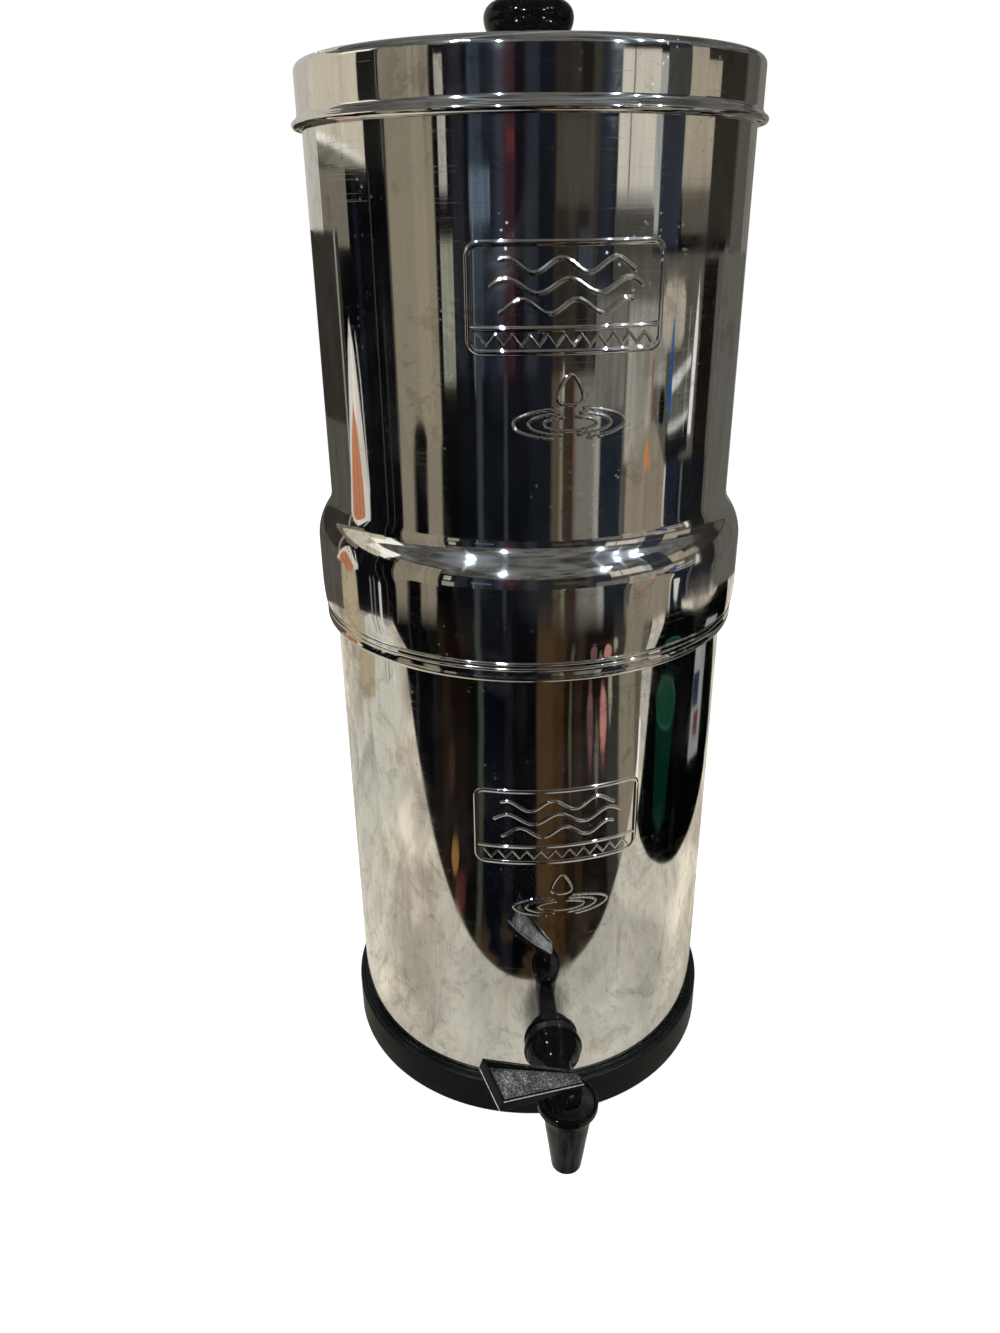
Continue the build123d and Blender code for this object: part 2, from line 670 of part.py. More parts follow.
def tap_lever():
    """Tapered paddle with a sunk thumb panel, on a web that straddles the stem and bears on its heel."""
    length = lever_front + lever_back
    plan = extrude(tapered_plan(-lever_back, lever_front, lever_back_w, lever_front_w), -2 * lever_front_depth)
    slab = side_slab(-lever_back, lever_front, -lever_back_depth, -lever_front_depth, 0, 2 * lever_front_w)
    paddle = plan & slab
    paddle = fillet(paddle.edges(), lever_edge_r)
    side_slope = (lever_front_w - lever_back_w) / length
    inner_front = lever_front - lever_end_wall_t
    inner_front_w = lever_front_w - 2 * lever_wall_t - side_slope * lever_end_wall_t
    inner_back_w = lever_back_w - 2 * lever_wall_t
    pocket_plan = tapered_plan(-lever_back, inner_front, inner_back_w, inner_front_w)
    pocket = extrude(pocket_plan, lever_front_depth, both=True)
    pocket &= side_slab(
        -lever_back - cut_over, lever_front, -lever_panel_back, -lever_panel_front, lever_front_depth, lever_front_w
    )
    paddle -= pocket
    paddle = Pos(0, 0, lever_rim_up) * Rot(0, -lever_tilt, 0) * paddle

    into_paddle = 0.5 * (lever_back_depth - lever_panel_back)
    web_profile = [
        (-web_back, web_z),
        (heel_front, web_z),
        (heel_front, lever_underside(heel_front) + into_paddle),
        (-web_back, lever_underside(-web_back) + into_paddle),
    ]
    web = extrude(Plane.XZ * make_face(Polyline(*web_profile, close=True)), lever_back_w / 2 - seat_gap, both=True)
    web = fillet(web.edges().filter_by(Axis.Y).group_by(Axis.Z)[0], web_edge_r)
    slot_roof = pin_up + eye_r + rest_gap
    slot = Pos(-web_back - cut_over, 0, web_z) * Box(
        web_back + cut_over + heel_back, 2 * cheek_w, slot_roof - web_z, align=(Align.MIN, Align.CENTER, Align.MIN)
    )
    lever = paddle + (web - slot)
    lever -= Pos(0, 0, pin_up) * Rot(90, 0, 0) * Cylinder(pin_r + run_gap, 2 * lever_back_w)
    return lever_place() * lever


# ---------------------------------------------------------------- every piece by name
def pieces():
    """Name and solid of every piece."""
    made = {
        "base_ring": base_ring(),
        "lower_wall": lower_wall(),
        "lower_floor": lower_floor(),
        "upper_wall": upper_wall(),
        "upper_skirt": upper_skirt(),
        "upper_floor": upper_floor(),
        "lid_shell": lid_shell(),
        "lid_knob": lid_knob(),
        "knob_insert": knob_insert(),
        "knob_screw": knob_screw(),
        "knob_washer": knob_washer(),
        "tap_body": tap_body(),
        "tap_washer_outer": tap_washer_outer(),
        "tap_washer_inner": tap_washer_inner(),
        "tap_lock_nut": tap_lock_nut(),
        "tap_bonnet": tap_bonnet(),
        "tap_glide_ring": tap_glide_ring(),
        "tap_stem": tap_stem(),
        "tap_seat_cup": tap_seat_cup(),
        "tap_spring": tap_spring(),
        "tap_lever_pin": tap_lever_pin(),
        "tap_lever": tap_lever(),
    }
    for side, (x, y) in element_places().items():
        at = Pos(x, y, upper_floor_top)
        made[f"filter_{side}_seal"] = at * element_seal()
        made[f"filter_{side}_base_cap"] = at * element_base_cap()
        made[f"filter_{side}_block"] = at * element_block()
        made[f"filter_{side}_top_cap"] = at * element_top_cap()
        made[f"filter_{side}_wing_nut"] = at * element_wing_nut()
    for side, (x, y) in plug_places().items():
        at = Pos(x, y, upper_floor_top)
        made[f"plug_{side}_body"] = at * plug_body()
        made[f"plug_{side}_seal"] = at * plug_seal()
        made[f"plug_{side}_nut"] = at * plug_nut()
    return made


os.makedirs("parts", exist_ok=True)
for name, solid in pieces().items():
    export_step(solid, f"parts/{name}.step")
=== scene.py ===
"""Dresses a gravity water filter: two polished steel chambers, a lift-off lid and a black lever tap."""

import json
import logging
import math
from dataclasses import dataclass, field
from enum import Enum

import bpy
import numpy as np
from mathutils import Matrix, Vector


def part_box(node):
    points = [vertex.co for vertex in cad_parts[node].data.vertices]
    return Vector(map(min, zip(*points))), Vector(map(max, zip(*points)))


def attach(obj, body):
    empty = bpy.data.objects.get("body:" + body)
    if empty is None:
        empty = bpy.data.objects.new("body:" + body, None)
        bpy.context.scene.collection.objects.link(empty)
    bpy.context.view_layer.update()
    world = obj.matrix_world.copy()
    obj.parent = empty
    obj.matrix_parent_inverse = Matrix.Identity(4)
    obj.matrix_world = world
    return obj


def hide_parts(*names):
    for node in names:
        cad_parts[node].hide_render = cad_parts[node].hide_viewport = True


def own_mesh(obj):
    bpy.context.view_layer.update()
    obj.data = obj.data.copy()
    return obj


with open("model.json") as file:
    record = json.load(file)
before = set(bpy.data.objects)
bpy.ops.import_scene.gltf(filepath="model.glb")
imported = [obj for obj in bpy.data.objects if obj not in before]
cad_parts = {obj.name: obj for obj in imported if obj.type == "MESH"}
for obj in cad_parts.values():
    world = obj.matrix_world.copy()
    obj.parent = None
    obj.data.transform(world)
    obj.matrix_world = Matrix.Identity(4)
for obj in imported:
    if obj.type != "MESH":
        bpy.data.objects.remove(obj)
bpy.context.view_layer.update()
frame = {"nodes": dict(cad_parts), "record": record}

log = logging.getLogger("water_filter")

# Lengths are metres, Z is the height above the table and the tap points along -Y.
MM = 0.001
TURN_STEPS = 240          # sides of every piece that is turned about the vessel's axis
MERGE = 0.002 * MM
BONNET_RIM = 5.4 * MM     # height of the part of the bonnet that stands over the barrel
BARREL_COLLAR = 5.2 * MM  # glossy top of the barrel, below which the tap is satin
BEND_GAP = 0.01 * MM      # from the straight part of a wall to the bend next to it


# ---------------------------------------------------------------- arithmetic on shader sockets
class Signal:
    """A shader socket on which Python's operators add Math nodes."""

    def __init__(self, look: "Look", socket: bpy.types.NodeSocket) -> None:
        """Wraps one output socket.

        Args:
            look: The material that the socket belongs to.
            socket: The output to wrap.
        """
        self.look = look
        self.socket = socket

    def _math(self, operation: str, *others: "float | Signal", swap: bool = False) -> "Signal":
        """Adds one Math node.

        Args:
            operation: The Math node's operation.
            others: The further operands.
            swap: Whether this signal is the second operand.

        Returns:
            The node's output.
        """
        operands = [self, *others]
        if swap:
            operands.reverse()
        node = self.look.node("ShaderNodeMath", {"operation": operation}, dict(enumerate(operands)))
        return Signal(self.look, node.outputs[0])

    def __add__(self, other: "float | Signal") -> "Signal":
        """Sum."""
        return self._math("ADD", other)

    __radd__ = __add__

    def __sub__(self, other: "float | Signal") -> "Signal":
        """Difference."""
        return self._math("SUBTRACT", other)

    def __rsub__(self, other: float) -> "Signal":
        """Difference from a number."""
        return self._math("SUBTRACT", other, swap=True)

    def __mul__(self, other: "float | Signal") -> "Signal":
        """Product."""
        return self._math("MULTIPLY", other)

    __rmul__ = __mul__

    def __truediv__(self, other: "float | Signal") -> "Signal":
        """Quotient."""
        return self._math("DIVIDE", other)

    def power(self, exponent: float) -> "Signal":
        """This signal to a power."""
        return self._math("POWER", exponent)

    def size(self) -> "Signal":
        """Absolute value."""
        return self._math("ABSOLUTE")

    def over(self, level: float) -> "Signal":
        """1 where this is over a level, else 0."""
        return self._math("GREATER_THAN", level)

    def turned_from(self, along: "Signal") -> "Signal":
        """Angle in radians whose tangent is this over another signal."""
        return self._math("ARCTAN2", along)

    def greatest(self, other: "float | Signal") -> "Signal":
        """The greater of two."""
        return self._math("MAXIMUM", other)

    def step(self, low: float, high: float) -> "Signal":
        """Smooth step.

        Args:
            low: Where it is 0.
            high: Where it is 1, which may be below low.

        Returns:
            A signal from 0 to 1.
        """
        values = {"Value": self, "From Min": low, "From Max": high}
        node = self.look.node("ShaderNodeMapRange", {"interpolation_type": "SMOOTHSTEP"}, values)
        return Signal(self.look, node.outputs[0])


Colour = tuple[float, float, float]


class Look:
    """A procedural material while its nodes are added."""

    def __init__(self, name: str) -> None:
        """Starts an empty material.

        Args:
            name: The material's name.
        """
        self.material = bpy.data.materials.new(name)
        self.material.use_nodes = True
        self.tree = self.material.node_tree
        self.tree.nodes.clear()
        self.place = self.node("ShaderNodeTexCoord").outputs["Object"]

    def node(self, kind: str, settings: dict | None = None, values: dict | None = None) -> bpy.types.Node:
        """Adds any node.

        Args:
            kind: The node's type.
            settings: Its own settings, which are set before its sockets.
            values: What goes into its sockets, by name or number: a number, a colour, a socket or a Signal.

        Returns:
            The node.
        """
        made = self.tree.nodes.new(kind)
        for key, value in (settings or {}).items():
            if key == "stops":
                self._set_stops(made.color_ramp, value)
            else:
                setattr(made, key, value)
        for key, value in (values or {}).items():
            socket = made.inputs[key]
            if isinstance(value, Signal):
                self.tree.links.new(value.socket, socket)
            elif isinstance(value, bpy.types.NodeSocket):
                self.tree.links.new(value, socket)
            elif isinstance(value, tuple) and socket.type == "RGBA":
                socket.default_value = (*value, 1.0)
            else:
                socket.default_value = value
        return made

    @staticmethod
    def _set_stops(ramp: bpy.types.ColorRamp, stops: list[tuple[float, Colour]]) -> None:
        """Fills a ramp.

        Args:
            ramp: The ramp.
            stops: Place and colour of each stop, from low to high.
        """
        while len(ramp.elements) > 1:
            ramp.elements.remove(ramp.elements[-1])
        for number, (where, colour) in enumerate(stops):
            element = ramp.elements[0] if number == 0 else ramp.elements.new(where)
            element.position = where
            element.color = (*colour, 1.0)

    def noise(self, scale: float, detail: float = 3.0, at: bpy.types.NodeSocket | None = None,
              roughness: float = 0.5, distortion: float = 0.0) -> Signal:
        """Smooth noise around 0.5.

        Args:
            scale: Features per metre of the coordinates.
            detail: Number of octaves.
            at: Its coordinates, or None for the object's own.
            roughness: Strength of the small octaves.
            distortion: How far the pattern is warped.

        Returns:
            The noise.
        """
        values = {"Vector": at or self.place, "Scale": scale, "Detail": detail,
                  "Roughness": roughness, "Distortion": distortion}
        return Signal(self, self.node("ShaderNodeTexNoise", None, values).outputs[0])

    def lines(self, stretch: tuple[float, float, float], detail: float, roughness: float,
              distortion: float = 0.0) -> Signal:
        """Smooth noise that runs one way.

        Args:
            stretch: Features per metre along each axis.
            detail: Number of octaves.
            roughness: Strength of the small octaves.
            distortion: How far the pattern is warped.

        Returns:
            The noise.
        """
        node = self.node("ShaderNodeVectorMath", {"operation": "MULTIPLY"}, {0: self.place, 1: stretch})
        return self.noise(1.0, detail, node.outputs[0], roughness, distortion)

    def cells(self, scale: float) -> Signal:
        """Distance to the nearest of many scattered points, in cells."""
        node = self.node("ShaderNodeTexVoronoi", None, {"Vector": self.place, "Scale": scale})
        return Signal(self, node.outputs["Distance"])

    def axis(self, name: str) -> Signal:
        """One of the object coordinates, by its letter."""
        node = self.node("ShaderNodeSeparateXYZ", None, {0: self.place})
        return Signal(self, node.outputs[name])

    def reach(self, x: float = 0.0, y: float = 0.0) -> Signal:
        """Level distance from an upright axis at a place on the floor plan."""
        dx, dy = self.axis("X") - x, self.axis("Y") - y
        return (dx * dx + dy * dy).power(0.5)

    def mix(self, share: "float | Signal", low, high) -> bpy.types.NodeSocket:
        """Mixes two colours.

        Args:
            share: Share of the second.
            low: First colour or socket.
            high: Second colour or socket.

        Returns:
            The mixed colour.
        """
        node = self.node("ShaderNodeMix", {"data_type": "RGBA"}, {0: share})
        for slot, value in ((6, low), (7, high)):
            if isinstance(value, bpy.types.NodeSocket):
                self.tree.links.new(value, node.inputs[slot])
            else:
                node.inputs[slot].default_value = (*value, 1.0)
        return node.outputs[2]

    def bump(self, height: Signal, depth: float, strength: float = 1.0,
             under: bpy.types.NodeSocket | None = None) -> bpy.types.NodeSocket:
        """Turns a height into a normal.

        Args:
            height: The height, about 0 to 1.
            depth: What a height of 1 stands for, in metres.
            strength: Share of the effect.
            under: A normal that it is laid over.

        Returns:
            The normal.
        """
        values = {"Height": height, "Distance": depth, "Strength": strength}
        if under is not None:
            values["Normal"] = under
        return self.node("ShaderNodeBump", None, values).outputs[0]

    def finish(self, shader: bpy.types.NodeSocket) -> bpy.types.Material:
        """Joins a shader to the output and returns the material."""
        self.node("ShaderNodeOutputMaterial", None, {"Surface": shader})
        return self.material

    def glowing(self, colour: "Colour | bpy.types.NodeSocket", strength: "float | Signal") -> bpy.types.Material:
        """Ends in plain emission.

        Args:
            colour: Its colour or socket.
            strength: Its strength.

        Returns:
            The material.
        """
        return self.finish(self.node("ShaderNodeEmission", None, {"Color": colour, "Strength": strength}).outputs[0])

    def principled(self, **values) -> bpy.types.Material:
        """Ends in a Principled shader.

        Args:
            values: Its inputs, with underscores for the blanks in their names.

        Returns:
            The material.
        """
        named = {key.replace("_", " "): value for key, value in values.items()}
        return self.finish(self.node("ShaderNodeBsdfPrincipled", None, named).outputs[0])


# ---------------------------------------------------------------- finishes
@dataclass(frozen=True)
class PolishedSteel:
    """Mirror-polished sheet with lines from the polishing wheel, wiped marks, dried drops and slight waves."""

    name: str
    tint: Colour = (0.80, 0.785, 0.765)
    dull_share: Colour = (0.62, 0.60, 0.56)     # what marks leave of the tint
    roughness: float = 0.022
    waves: float = 0.012 * MM                   # depth of the slow waves in the sheet
    line_depth: float = 0.0016 * MM
    anisotropy: float = 0.75
    lines_turn: float = 0.25                    # share of a turn from the tangent to the polishing lines

    def make(self) -> bpy.types.Material:
        """Builds the material."""
        look = Look(self.name)
        lines = look.lines((14, 14, 2600), 4.0, 0.65)
        scratches = look.lines((10, 10, 5200), 3.0, 0.6).step(0.64, 0.72)
        wiped = look.lines((26, 26, 13), 5.0, 0.62, 0.6).step(0.50, 0.70)
        runs = look.lines((95, 95, 12), 4.0, 0.6).step(0.56, 0.70)
        stains = look.noise(46, 7.0, roughness=0.72, distortion=1.1).step(0.53, 0.60)
        stains = stains * look.noise(12, 2.0).step(0.42, 0.56)
        drops = look.cells(240).step(0.22, 0.10) * look.noise(34, 2.0).step(0.54, 0.66)
        specks = look.cells(430).step(0.11, 0.06) * look.noise(21, 3.0).step(0.56, 0.66)
        haze = look.noise(9, 4.0, roughness=0.6).step(0.40, 0.75)
        rough = self.roughness + lines * 0.03 + wiped * 0.055 + drops * 0.16 + haze * 0.018
        dulled = wiped * 0.30 + runs * 0.40 + drops * 0.5 + stains * 0.50
        colour = look.mix(dulled, self.tint, tuple(share * part for share, part in zip(self.dull_share, self.tint)))
        soiled = wiped * 0.012 + runs * 0.008 + haze * 0.005 + drops * 0.05 + specks * 0.16 + scratches * 0.010
        sheet = look.bump(look.noise(17, 2.0), self.waves)
        brushed = look.bump(lines + scratches * 1.6, self.line_depth, under=sheet)
        return look.principled(Base_Color=colour, Metallic=1.0 - soiled, Roughness=rough, Normal=brushed,
                               Anisotropic=self.anisotropy, Anisotropic_Rotation=self.lines_turn)


@dataclass(frozen=True)
class SatinSteel:
    """Plain rolled sheet or turned steel, with fine lines one way and water marks."""

    name: str
    lines: tuple[float, float, float] = (60, 60, 2200)
    tint: Colour = (0.62, 0.615, 0.60)
    mark_share: float = 0.7         # what marks leave of the tint
    roughness: float = 0.26
    line_depth: float = 0.006 * MM

    def make(self) -> bpy.types.Material:
        """Builds the material."""
        look = Look(self.name)
        lines = look.lines(self.lines, 4.0, 0.7)
        marks = look.noise(38, 4.0, roughness=0.6, distortion=0.8).step(0.5, 0.66)
        marked = tuple(self.mark_share * part for part in self.tint)
        return look.principled(Base_Color=look.mix(lines * 0.5 + marks * 0.35, self.tint, marked), Metallic=1.0,
                               Roughness=self.roughness + lines * 0.2 + marks * 0.1,
                               Normal=look.bump(lines, self.line_depth))


@dataclass(frozen=True)
class Brass:
    """Turned brass, a little tarnished."""

    name: str
    colour: Colour = (0.78, 0.58, 0.27)
    tarnished: Colour = (0.45, 0.30, 0.12)
    roughness: float = 0.24
    line_depth: float = 0.01 * MM

    def make(self) -> bpy.types.Material:
        """Builds the material."""
        look = Look(self.name)
        lines = look.lines((90, 90, 3000), 3.0, 0.6)
        tarnish = look.noise(420, 4.0).step(0.45, 0.7)
        return look.principled(Base_Color=look.mix(tarnish, self.colour, self.tarnished), Metallic=1.0,
                               Roughness=self.roughness + tarnish * 0.25, Normal=look.bump(lines, self.line_depth))


@dataclass(frozen=True)
class GlossPlastic:
    """Glossy moulding with fine scratches, dust and a satin zone below a given height."""

    name: str
    colour: Colour = (0.002, 0.0022, 0.0022)
    gloss: float = 0.035                # roughness where it is glossy
    satin: float = 0.16                 # roughness below satin_below
    satin_below: float = -1.0
    satin_edge: float = 0.4 * MM        # half the height over which gloss runs into satin
    satin_colour: Colour = (0.0075, 0.0085, 0.0085)
    flow_gain: float = 2.6              # how much lighter the flow lines of the satin zone are
    dust_colour: Colour = (0.30, 0.30, 0.29)
    grain: float = 0.003 * MM
    sheen: float = 0.13

    def make(self) -> bpy.types.Material:
        """Builds the material."""
        look = Look(self.name)
        satin = look.axis("Z").step(self.satin_below + self.satin_edge, self.satin_below - self.satin_edge)
        dust = look.cells(1500).step(0.16, 0.07) * look.noise(130, 2.0).step(0.5, 0.62)
        scratches = look.lines((900, 260, 120), 3.0, 0.7).step(0.60, 0.72)
        greasy = look.noise(70, 3.0).step(0.45, 0.7)
        flow = look.lines((260, 260, 40), 2.0, 0.5)
        base = look.mix(satin, self.colour, self.satin_colour)
        streaks = tuple(self.flow_gain * part for part in self.satin_colour)
        streaked = look.mix(satin * flow.step(0.42, 0.66), base, streaks)
        dusty = look.mix(dust * 0.5, streaked, self.dust_colour)
        rough = self.gloss + greasy * 0.025 + scratches * 0.05 + dust * 0.25 + satin * (self.satin - self.gloss)
        grain = look.bump(look.noise(2600, 3.0), self.grain, 0.6)
        normal = look.bump(scratches, self.grain, under=grain)
        return look.principled(Base_Color=dusty, Roughness=rough, Normal=normal, Specular_IOR_Level=self.sheen)


@dataclass(frozen=True)
class LeverPlastic:
    """Black moulding of the lever, dull on its faces, with a painted highlight line along the foot of its end wall."""

    name: str
    place: Matrix                       # the lever's own frame
    end: float                          # where the end wall's face lies along the lever
    foot: float                         # how far its lower edge is from the rim
    line: float = 0.95 * MM             # height of the painted highlight line
    skin: tuple[float, float] = (0.75 * MM, 0.65 * MM)      # how far behind the face the line starts and is full
    blur: float = 0.06 * MM             # half the height over which its upper edge fades
    colour: Colour = (0.004, 0.0042, 0.0045)
    dust_colour: Colour = (0.11, 0.11, 0.105)
    # colour of the painted highlight line
    painted_highlight_colour: Colour = (0.72, 0.72, 0.70)
    roughness: float = 0.14
    grain: float = 0.004 * MM
    sheen: float = 0.07

    def make(self) -> bpy.types.Material:
        """Builds the material."""
        look = Look(self.name)
        along, up = self._distance(look, 0), self._distance(look, 2)
        skin, top = self.skin, self.line - self.foot
        # painted highlight: a pale line along the foot of the end wall, broken up by noise, stands in for light caught
        # by its rounding
        painted_highlight = along.step(self.end - skin[0], self.end - skin[1]) * up.step(top + self.blur, top - self.blur)
        broken_highlight = look.noise(600, 3.0).step(0.30, 0.48) * painted_highlight
        scratches = look.lines((700, 240, 160), 3.0, 0.7).step(0.60, 0.72)
        dust = look.cells(1300).step(0.15, 0.07) * look.noise(130, 2.0).step(0.52, 0.62)
        black = look.mix(scratches * 0.3 + dust * 0.4, self.colour, self.dust_colour)
        return look.principled(Base_Color=look.mix(broken_highlight, black, self.painted_highlight_colour),
                               Roughness=self.roughness + scratches * 0.1 + painted_highlight * 0.15,
                               Normal=look.bump(look.noise(2200, 3.0), self.grain), Specular_IOR_Level=self.sheen)

    def _distance(self, look: Look, axis: int) -> Signal:
        """Distance along one axis of the lever's frame, in metres."""
        direction = self.place.col[axis].xyz
        x, y, z = (look.axis(letter) for letter in "XYZ")
        return x * direction.x + y * direction.y + z * direction.z - direction.dot(self.place.translation)


@dataclass(frozen=True)
class MattePlastic:
    """Fine-textured moulding with specks and scuffs."""

    name: str
    colour: Colour = (0.035, 0.035, 0.037)
    specks: Colour = (0.16, 0.16, 0.155)
    share: float = 0.35             # how much of it the specks and scuffs cover
    grain: float = 0.03 * MM
    roughness: float = 0.52
    sheen: float = 0.5

    def make(self) -> bpy.types.Material:
        """Builds the material."""
        look = Look(self.name)
        grain = look.noise(1700, 3.0, roughness=0.7)
        specks = look.noise(750, 3.0, roughness=0.8).step(0.60 - 0.12 * self.share, 0.66)
        patches = look.noise(95, 4.0, roughness=0.62, distortion=1.2).step(0.42, 0.66)
        cover = (specks * (0.45 + patches * 0.55)) * self.share + patches * (0.12 * self.share)
        return look.principled(Base_Color=look.mix(cover, self.colour, self.specks),
                               Roughness=self.roughness + patches * 0.16 - specks * 0.08,
                               Normal=look.bump(grain, self.grain), Specular_IOR_Level=self.sheen)


@dataclass(frozen=True)
class Rubber:
    """Moulded rubber with a soft sheen, fine grain and wiped dust."""

    name: str
    colour: Colour = (0.005, 0.0055, 0.0055)
    dust_colour: Colour = (0.025, 0.027, 0.027)
    roughness: float = 0.36
    grain: float = 0.02 * MM
    sheen: float = 0.05

    def make(self) -> bpy.types.Material:
        """Builds the material."""
        look = Look(self.name)
        grain = look.noise(1300, 3.0, roughness=0.65)
        dust = look.lines((30, 30, 120), 5.0, 0.65).step(0.48, 0.74)
        specks = look.cells(900).step(0.15, 0.06) * look.noise(60, 2.0).step(0.52, 0.64)
        return look.principled(Base_Color=look.mix(dust * 0.32 + specks * 0.5, self.colour, self.dust_colour),
                               Roughness=self.roughness + dust * 0.14, Normal=look.bump(grain, self.grain),
                               Specular_IOR_Level=self.sheen)


@dataclass(frozen=True)
class Silicone:
    """Milky silicone rubber with a few trapped bubbles."""

    name: str
    colour: Colour = (0.66, 0.65, 0.61)
    cloud_colour: Colour = (0.79, 0.78, 0.75)
    bubble_colour: Colour = (0.9, 0.9, 0.88)
    roughness: float = 0.34
    grain: float = 0.015 * MM

    def make(self) -> bpy.types.Material:
        """Builds the material."""
        look = Look(self.name)
        cloud = look.noise(160, 3.0).step(0.35, 0.7)
        bubbles = look.cells(700).step(0.14, 0.08)
        pale = look.mix(bubbles * 0.5, look.mix(cloud, self.colour, self.cloud_colour), self.bubble_colour)
        return look.principled(Base_Color=pale, Roughness=self.roughness + cloud * 0.1,
                               Normal=look.bump(look.noise(900, 2.0), self.grain))


@dataclass(frozen=True)
class CarbonBlock:
    """Porous pressed carbon."""

    name: str
    colour: Colour = (0.016, 0.016, 0.017)
    grain_colour: Colour = (0.065, 0.064, 0.062)
    roughness: float = 0.78
    depth: float = 0.16 * MM

    def make(self) -> bpy.types.Material:
        """Builds the material."""
        look = Look(self.name)
        pores = look.cells(1100).step(0.30, 0.05)
        grain = look.noise(700, 5.0, roughness=0.75)
        return look.principled(Base_Color=look.mix(grain.step(0.35, 0.7), self.colour, self.grain_colour),
                               Roughness=self.roughness - pores * 0.1,
                               Normal=look.bump(grain - pores * 0.8, self.depth))


@dataclass
class Finishes:
    """Every finish of the object, by the name of its slot in the record."""

    nozzle_top: float
    made: dict[str, bpy.types.Material] = field(default_factory=dict)

    def make(self) -> None:
        """Builds all materials."""
        recipes = [
            PolishedSteel("polished_steel"),
            SatinSteel("inner_steel", (1500, 40, 40)),
            SatinSteel("screw_steel", (700, 700, 2600), (0.58, 0.58, 0.57)),
            Brass("brass"),
            GlossPlastic("black_gloss"),
            GlossPlastic("tap_moulding", satin_below=self.nozzle_top, sheen=0.10),
            MattePlastic("black_matte"),
            MattePlastic("dusty_dish", (0.004, 0.0045, 0.0045), (0.15, 0.155, 0.15), 0.28, roughness=0.30, sheen=0.08),
            # thumb panel: its pale specks are partly the pad's grain and partly painted reflection of the light from
            # above
            MattePlastic("thumb_panel", (0.014, 0.015, 0.0145), (0.46, 0.45, 0.43), 0.85, 0.05 * MM, 0.40, sheen=0.15),
            # painted highlight: pale grey for the lever's rim roundings, standing in for the light they catch
            MattePlastic("painted_highlight_edge", (0.22, 0.22, 0.215), (0.62, 0.62, 0.60), 0.8, 0.01 * MM, 0.25),
            SatinSteel("dark_pin", (700, 2600, 700), (0.16, 0.16, 0.155)),
            MattePlastic("white_plastic", (0.80, 0.80, 0.77), (0.70, 0.69, 0.65), 0.3, 0.01 * MM, 0.4),
            Rubber("black_rubber"),
            Silicone("clear_silicone"),
            CarbonBlock("carbon_block"),
        ]
        for recipe in recipes:
            self.made[recipe.name] = recipe.make()

    def put(self, obj: bpy.types.Object, name: str) -> None:
        """Gives an object one finish on all its faces."""
        obj.data.materials.clear()
        obj.data.materials.append(self.made[name])

    def put_on_some(self, obj: bpy.types.Object, name: str, chosen) -> int:
        """Gives some faces of an object a second finish.

        Args:
            obj: The object.
            name: The finish.
            chosen: Called with each face's centre and normal.

        Returns:
            How many faces have it.
        """
        obj.data.materials.append(self.made[name])
        faces = [face for face in obj.data.polygons if chosen(face.center, face.normal)]
        for face in faces:
            face.material_index = len(obj.data.materials) - 1
        return len(faces)


# ---------------------------------------------------------------- modelling
def deselect() -> None:
    """Leaves edit mode and deselects everything."""
    if bpy.context.object and bpy.context.object.mode != "OBJECT":
        bpy.ops.object.mode_set(mode="OBJECT")
    bpy.ops.object.select_all(action="DESELECT")


def make_active(obj: bpy.types.Object) -> None:
    """Selects one object alone."""
    deselect()
    obj.select_set(True)
    bpy.context.view_layer.objects.active = obj


def apply_modifier(obj: bpy.types.Object, kind: str, **settings) -> None:
    """Adds a modifier and applies it.

    Args:
        obj: The object.
        kind: The modifier's type.
        settings: Its settings.
    """
    make_active(obj)
    modifier = obj.modifiers.new(kind.title(), kind)
    for key, value in settings.items():
        setattr(modifier, key, value)
    bpy.ops.object.modifier_apply(modifier=modifier.name)


def edit_all(obj: bpy.types.Object) -> None:
    """Opens one object in edit mode, with all of it selected."""
    make_active(obj)
    bpy.ops.object.mode_set(mode="EDIT")
    bpy.ops.mesh.select_all(action="SELECT")


def weld(obj: bpy.types.Object) -> None:
    """Merges doubled points and turns all faces outwards."""
    edit_all(obj)
    bpy.ops.mesh.remove_doubles(threshold=MERGE)
    bpy.ops.mesh.normals_make_consistent(inside=False)
    bpy.ops.object.mode_set(mode="OBJECT")


def select_faces(obj: bpy.types.Object, chosen) -> int:
    """Selects the faces that a test chooses, in face mode, and leaves edit mode on.

    Args:
        obj: The object.
        chosen: Called with each face's centre and normal.

    Returns:
        How many faces are selected.
    """
    make_active(obj)
    bpy.ops.object.mode_set(mode="EDIT")
    bpy.ops.mesh.select_mode(type="FACE")
    bpy.ops.mesh.select_all(action="DESELECT")
    bpy.ops.object.mode_set(mode="OBJECT")
    count = 0
    for face in obj.data.polygons:
        face.select = bool(chosen(face.center, face.normal))
        count += face.select
    bpy.ops.object.mode_set(mode="EDIT")
    return count


def first_point(name: str, place: tuple[float, float, float]) -> bpy.types.Object:
    """Makes an object of a single point.

    Args:
        name: The new object's name.
        place: Where the point is.

    Returns:
        The object, in edit mode with its point selected.
    """
    deselect()
    bpy.ops.mesh.primitive_plane_add(size=MM)
    obj = bpy.context.object
    obj.name = name
    bpy.ops.object.mode_set(mode="EDIT")
    bpy.ops.mesh.select_mode(type="VERT")
    bpy.ops.mesh.select_all(action="SELECT")
    bpy.ops.mesh.merge(type="CENTER")
    bpy.ops.transform.translate(value=place)
    return obj


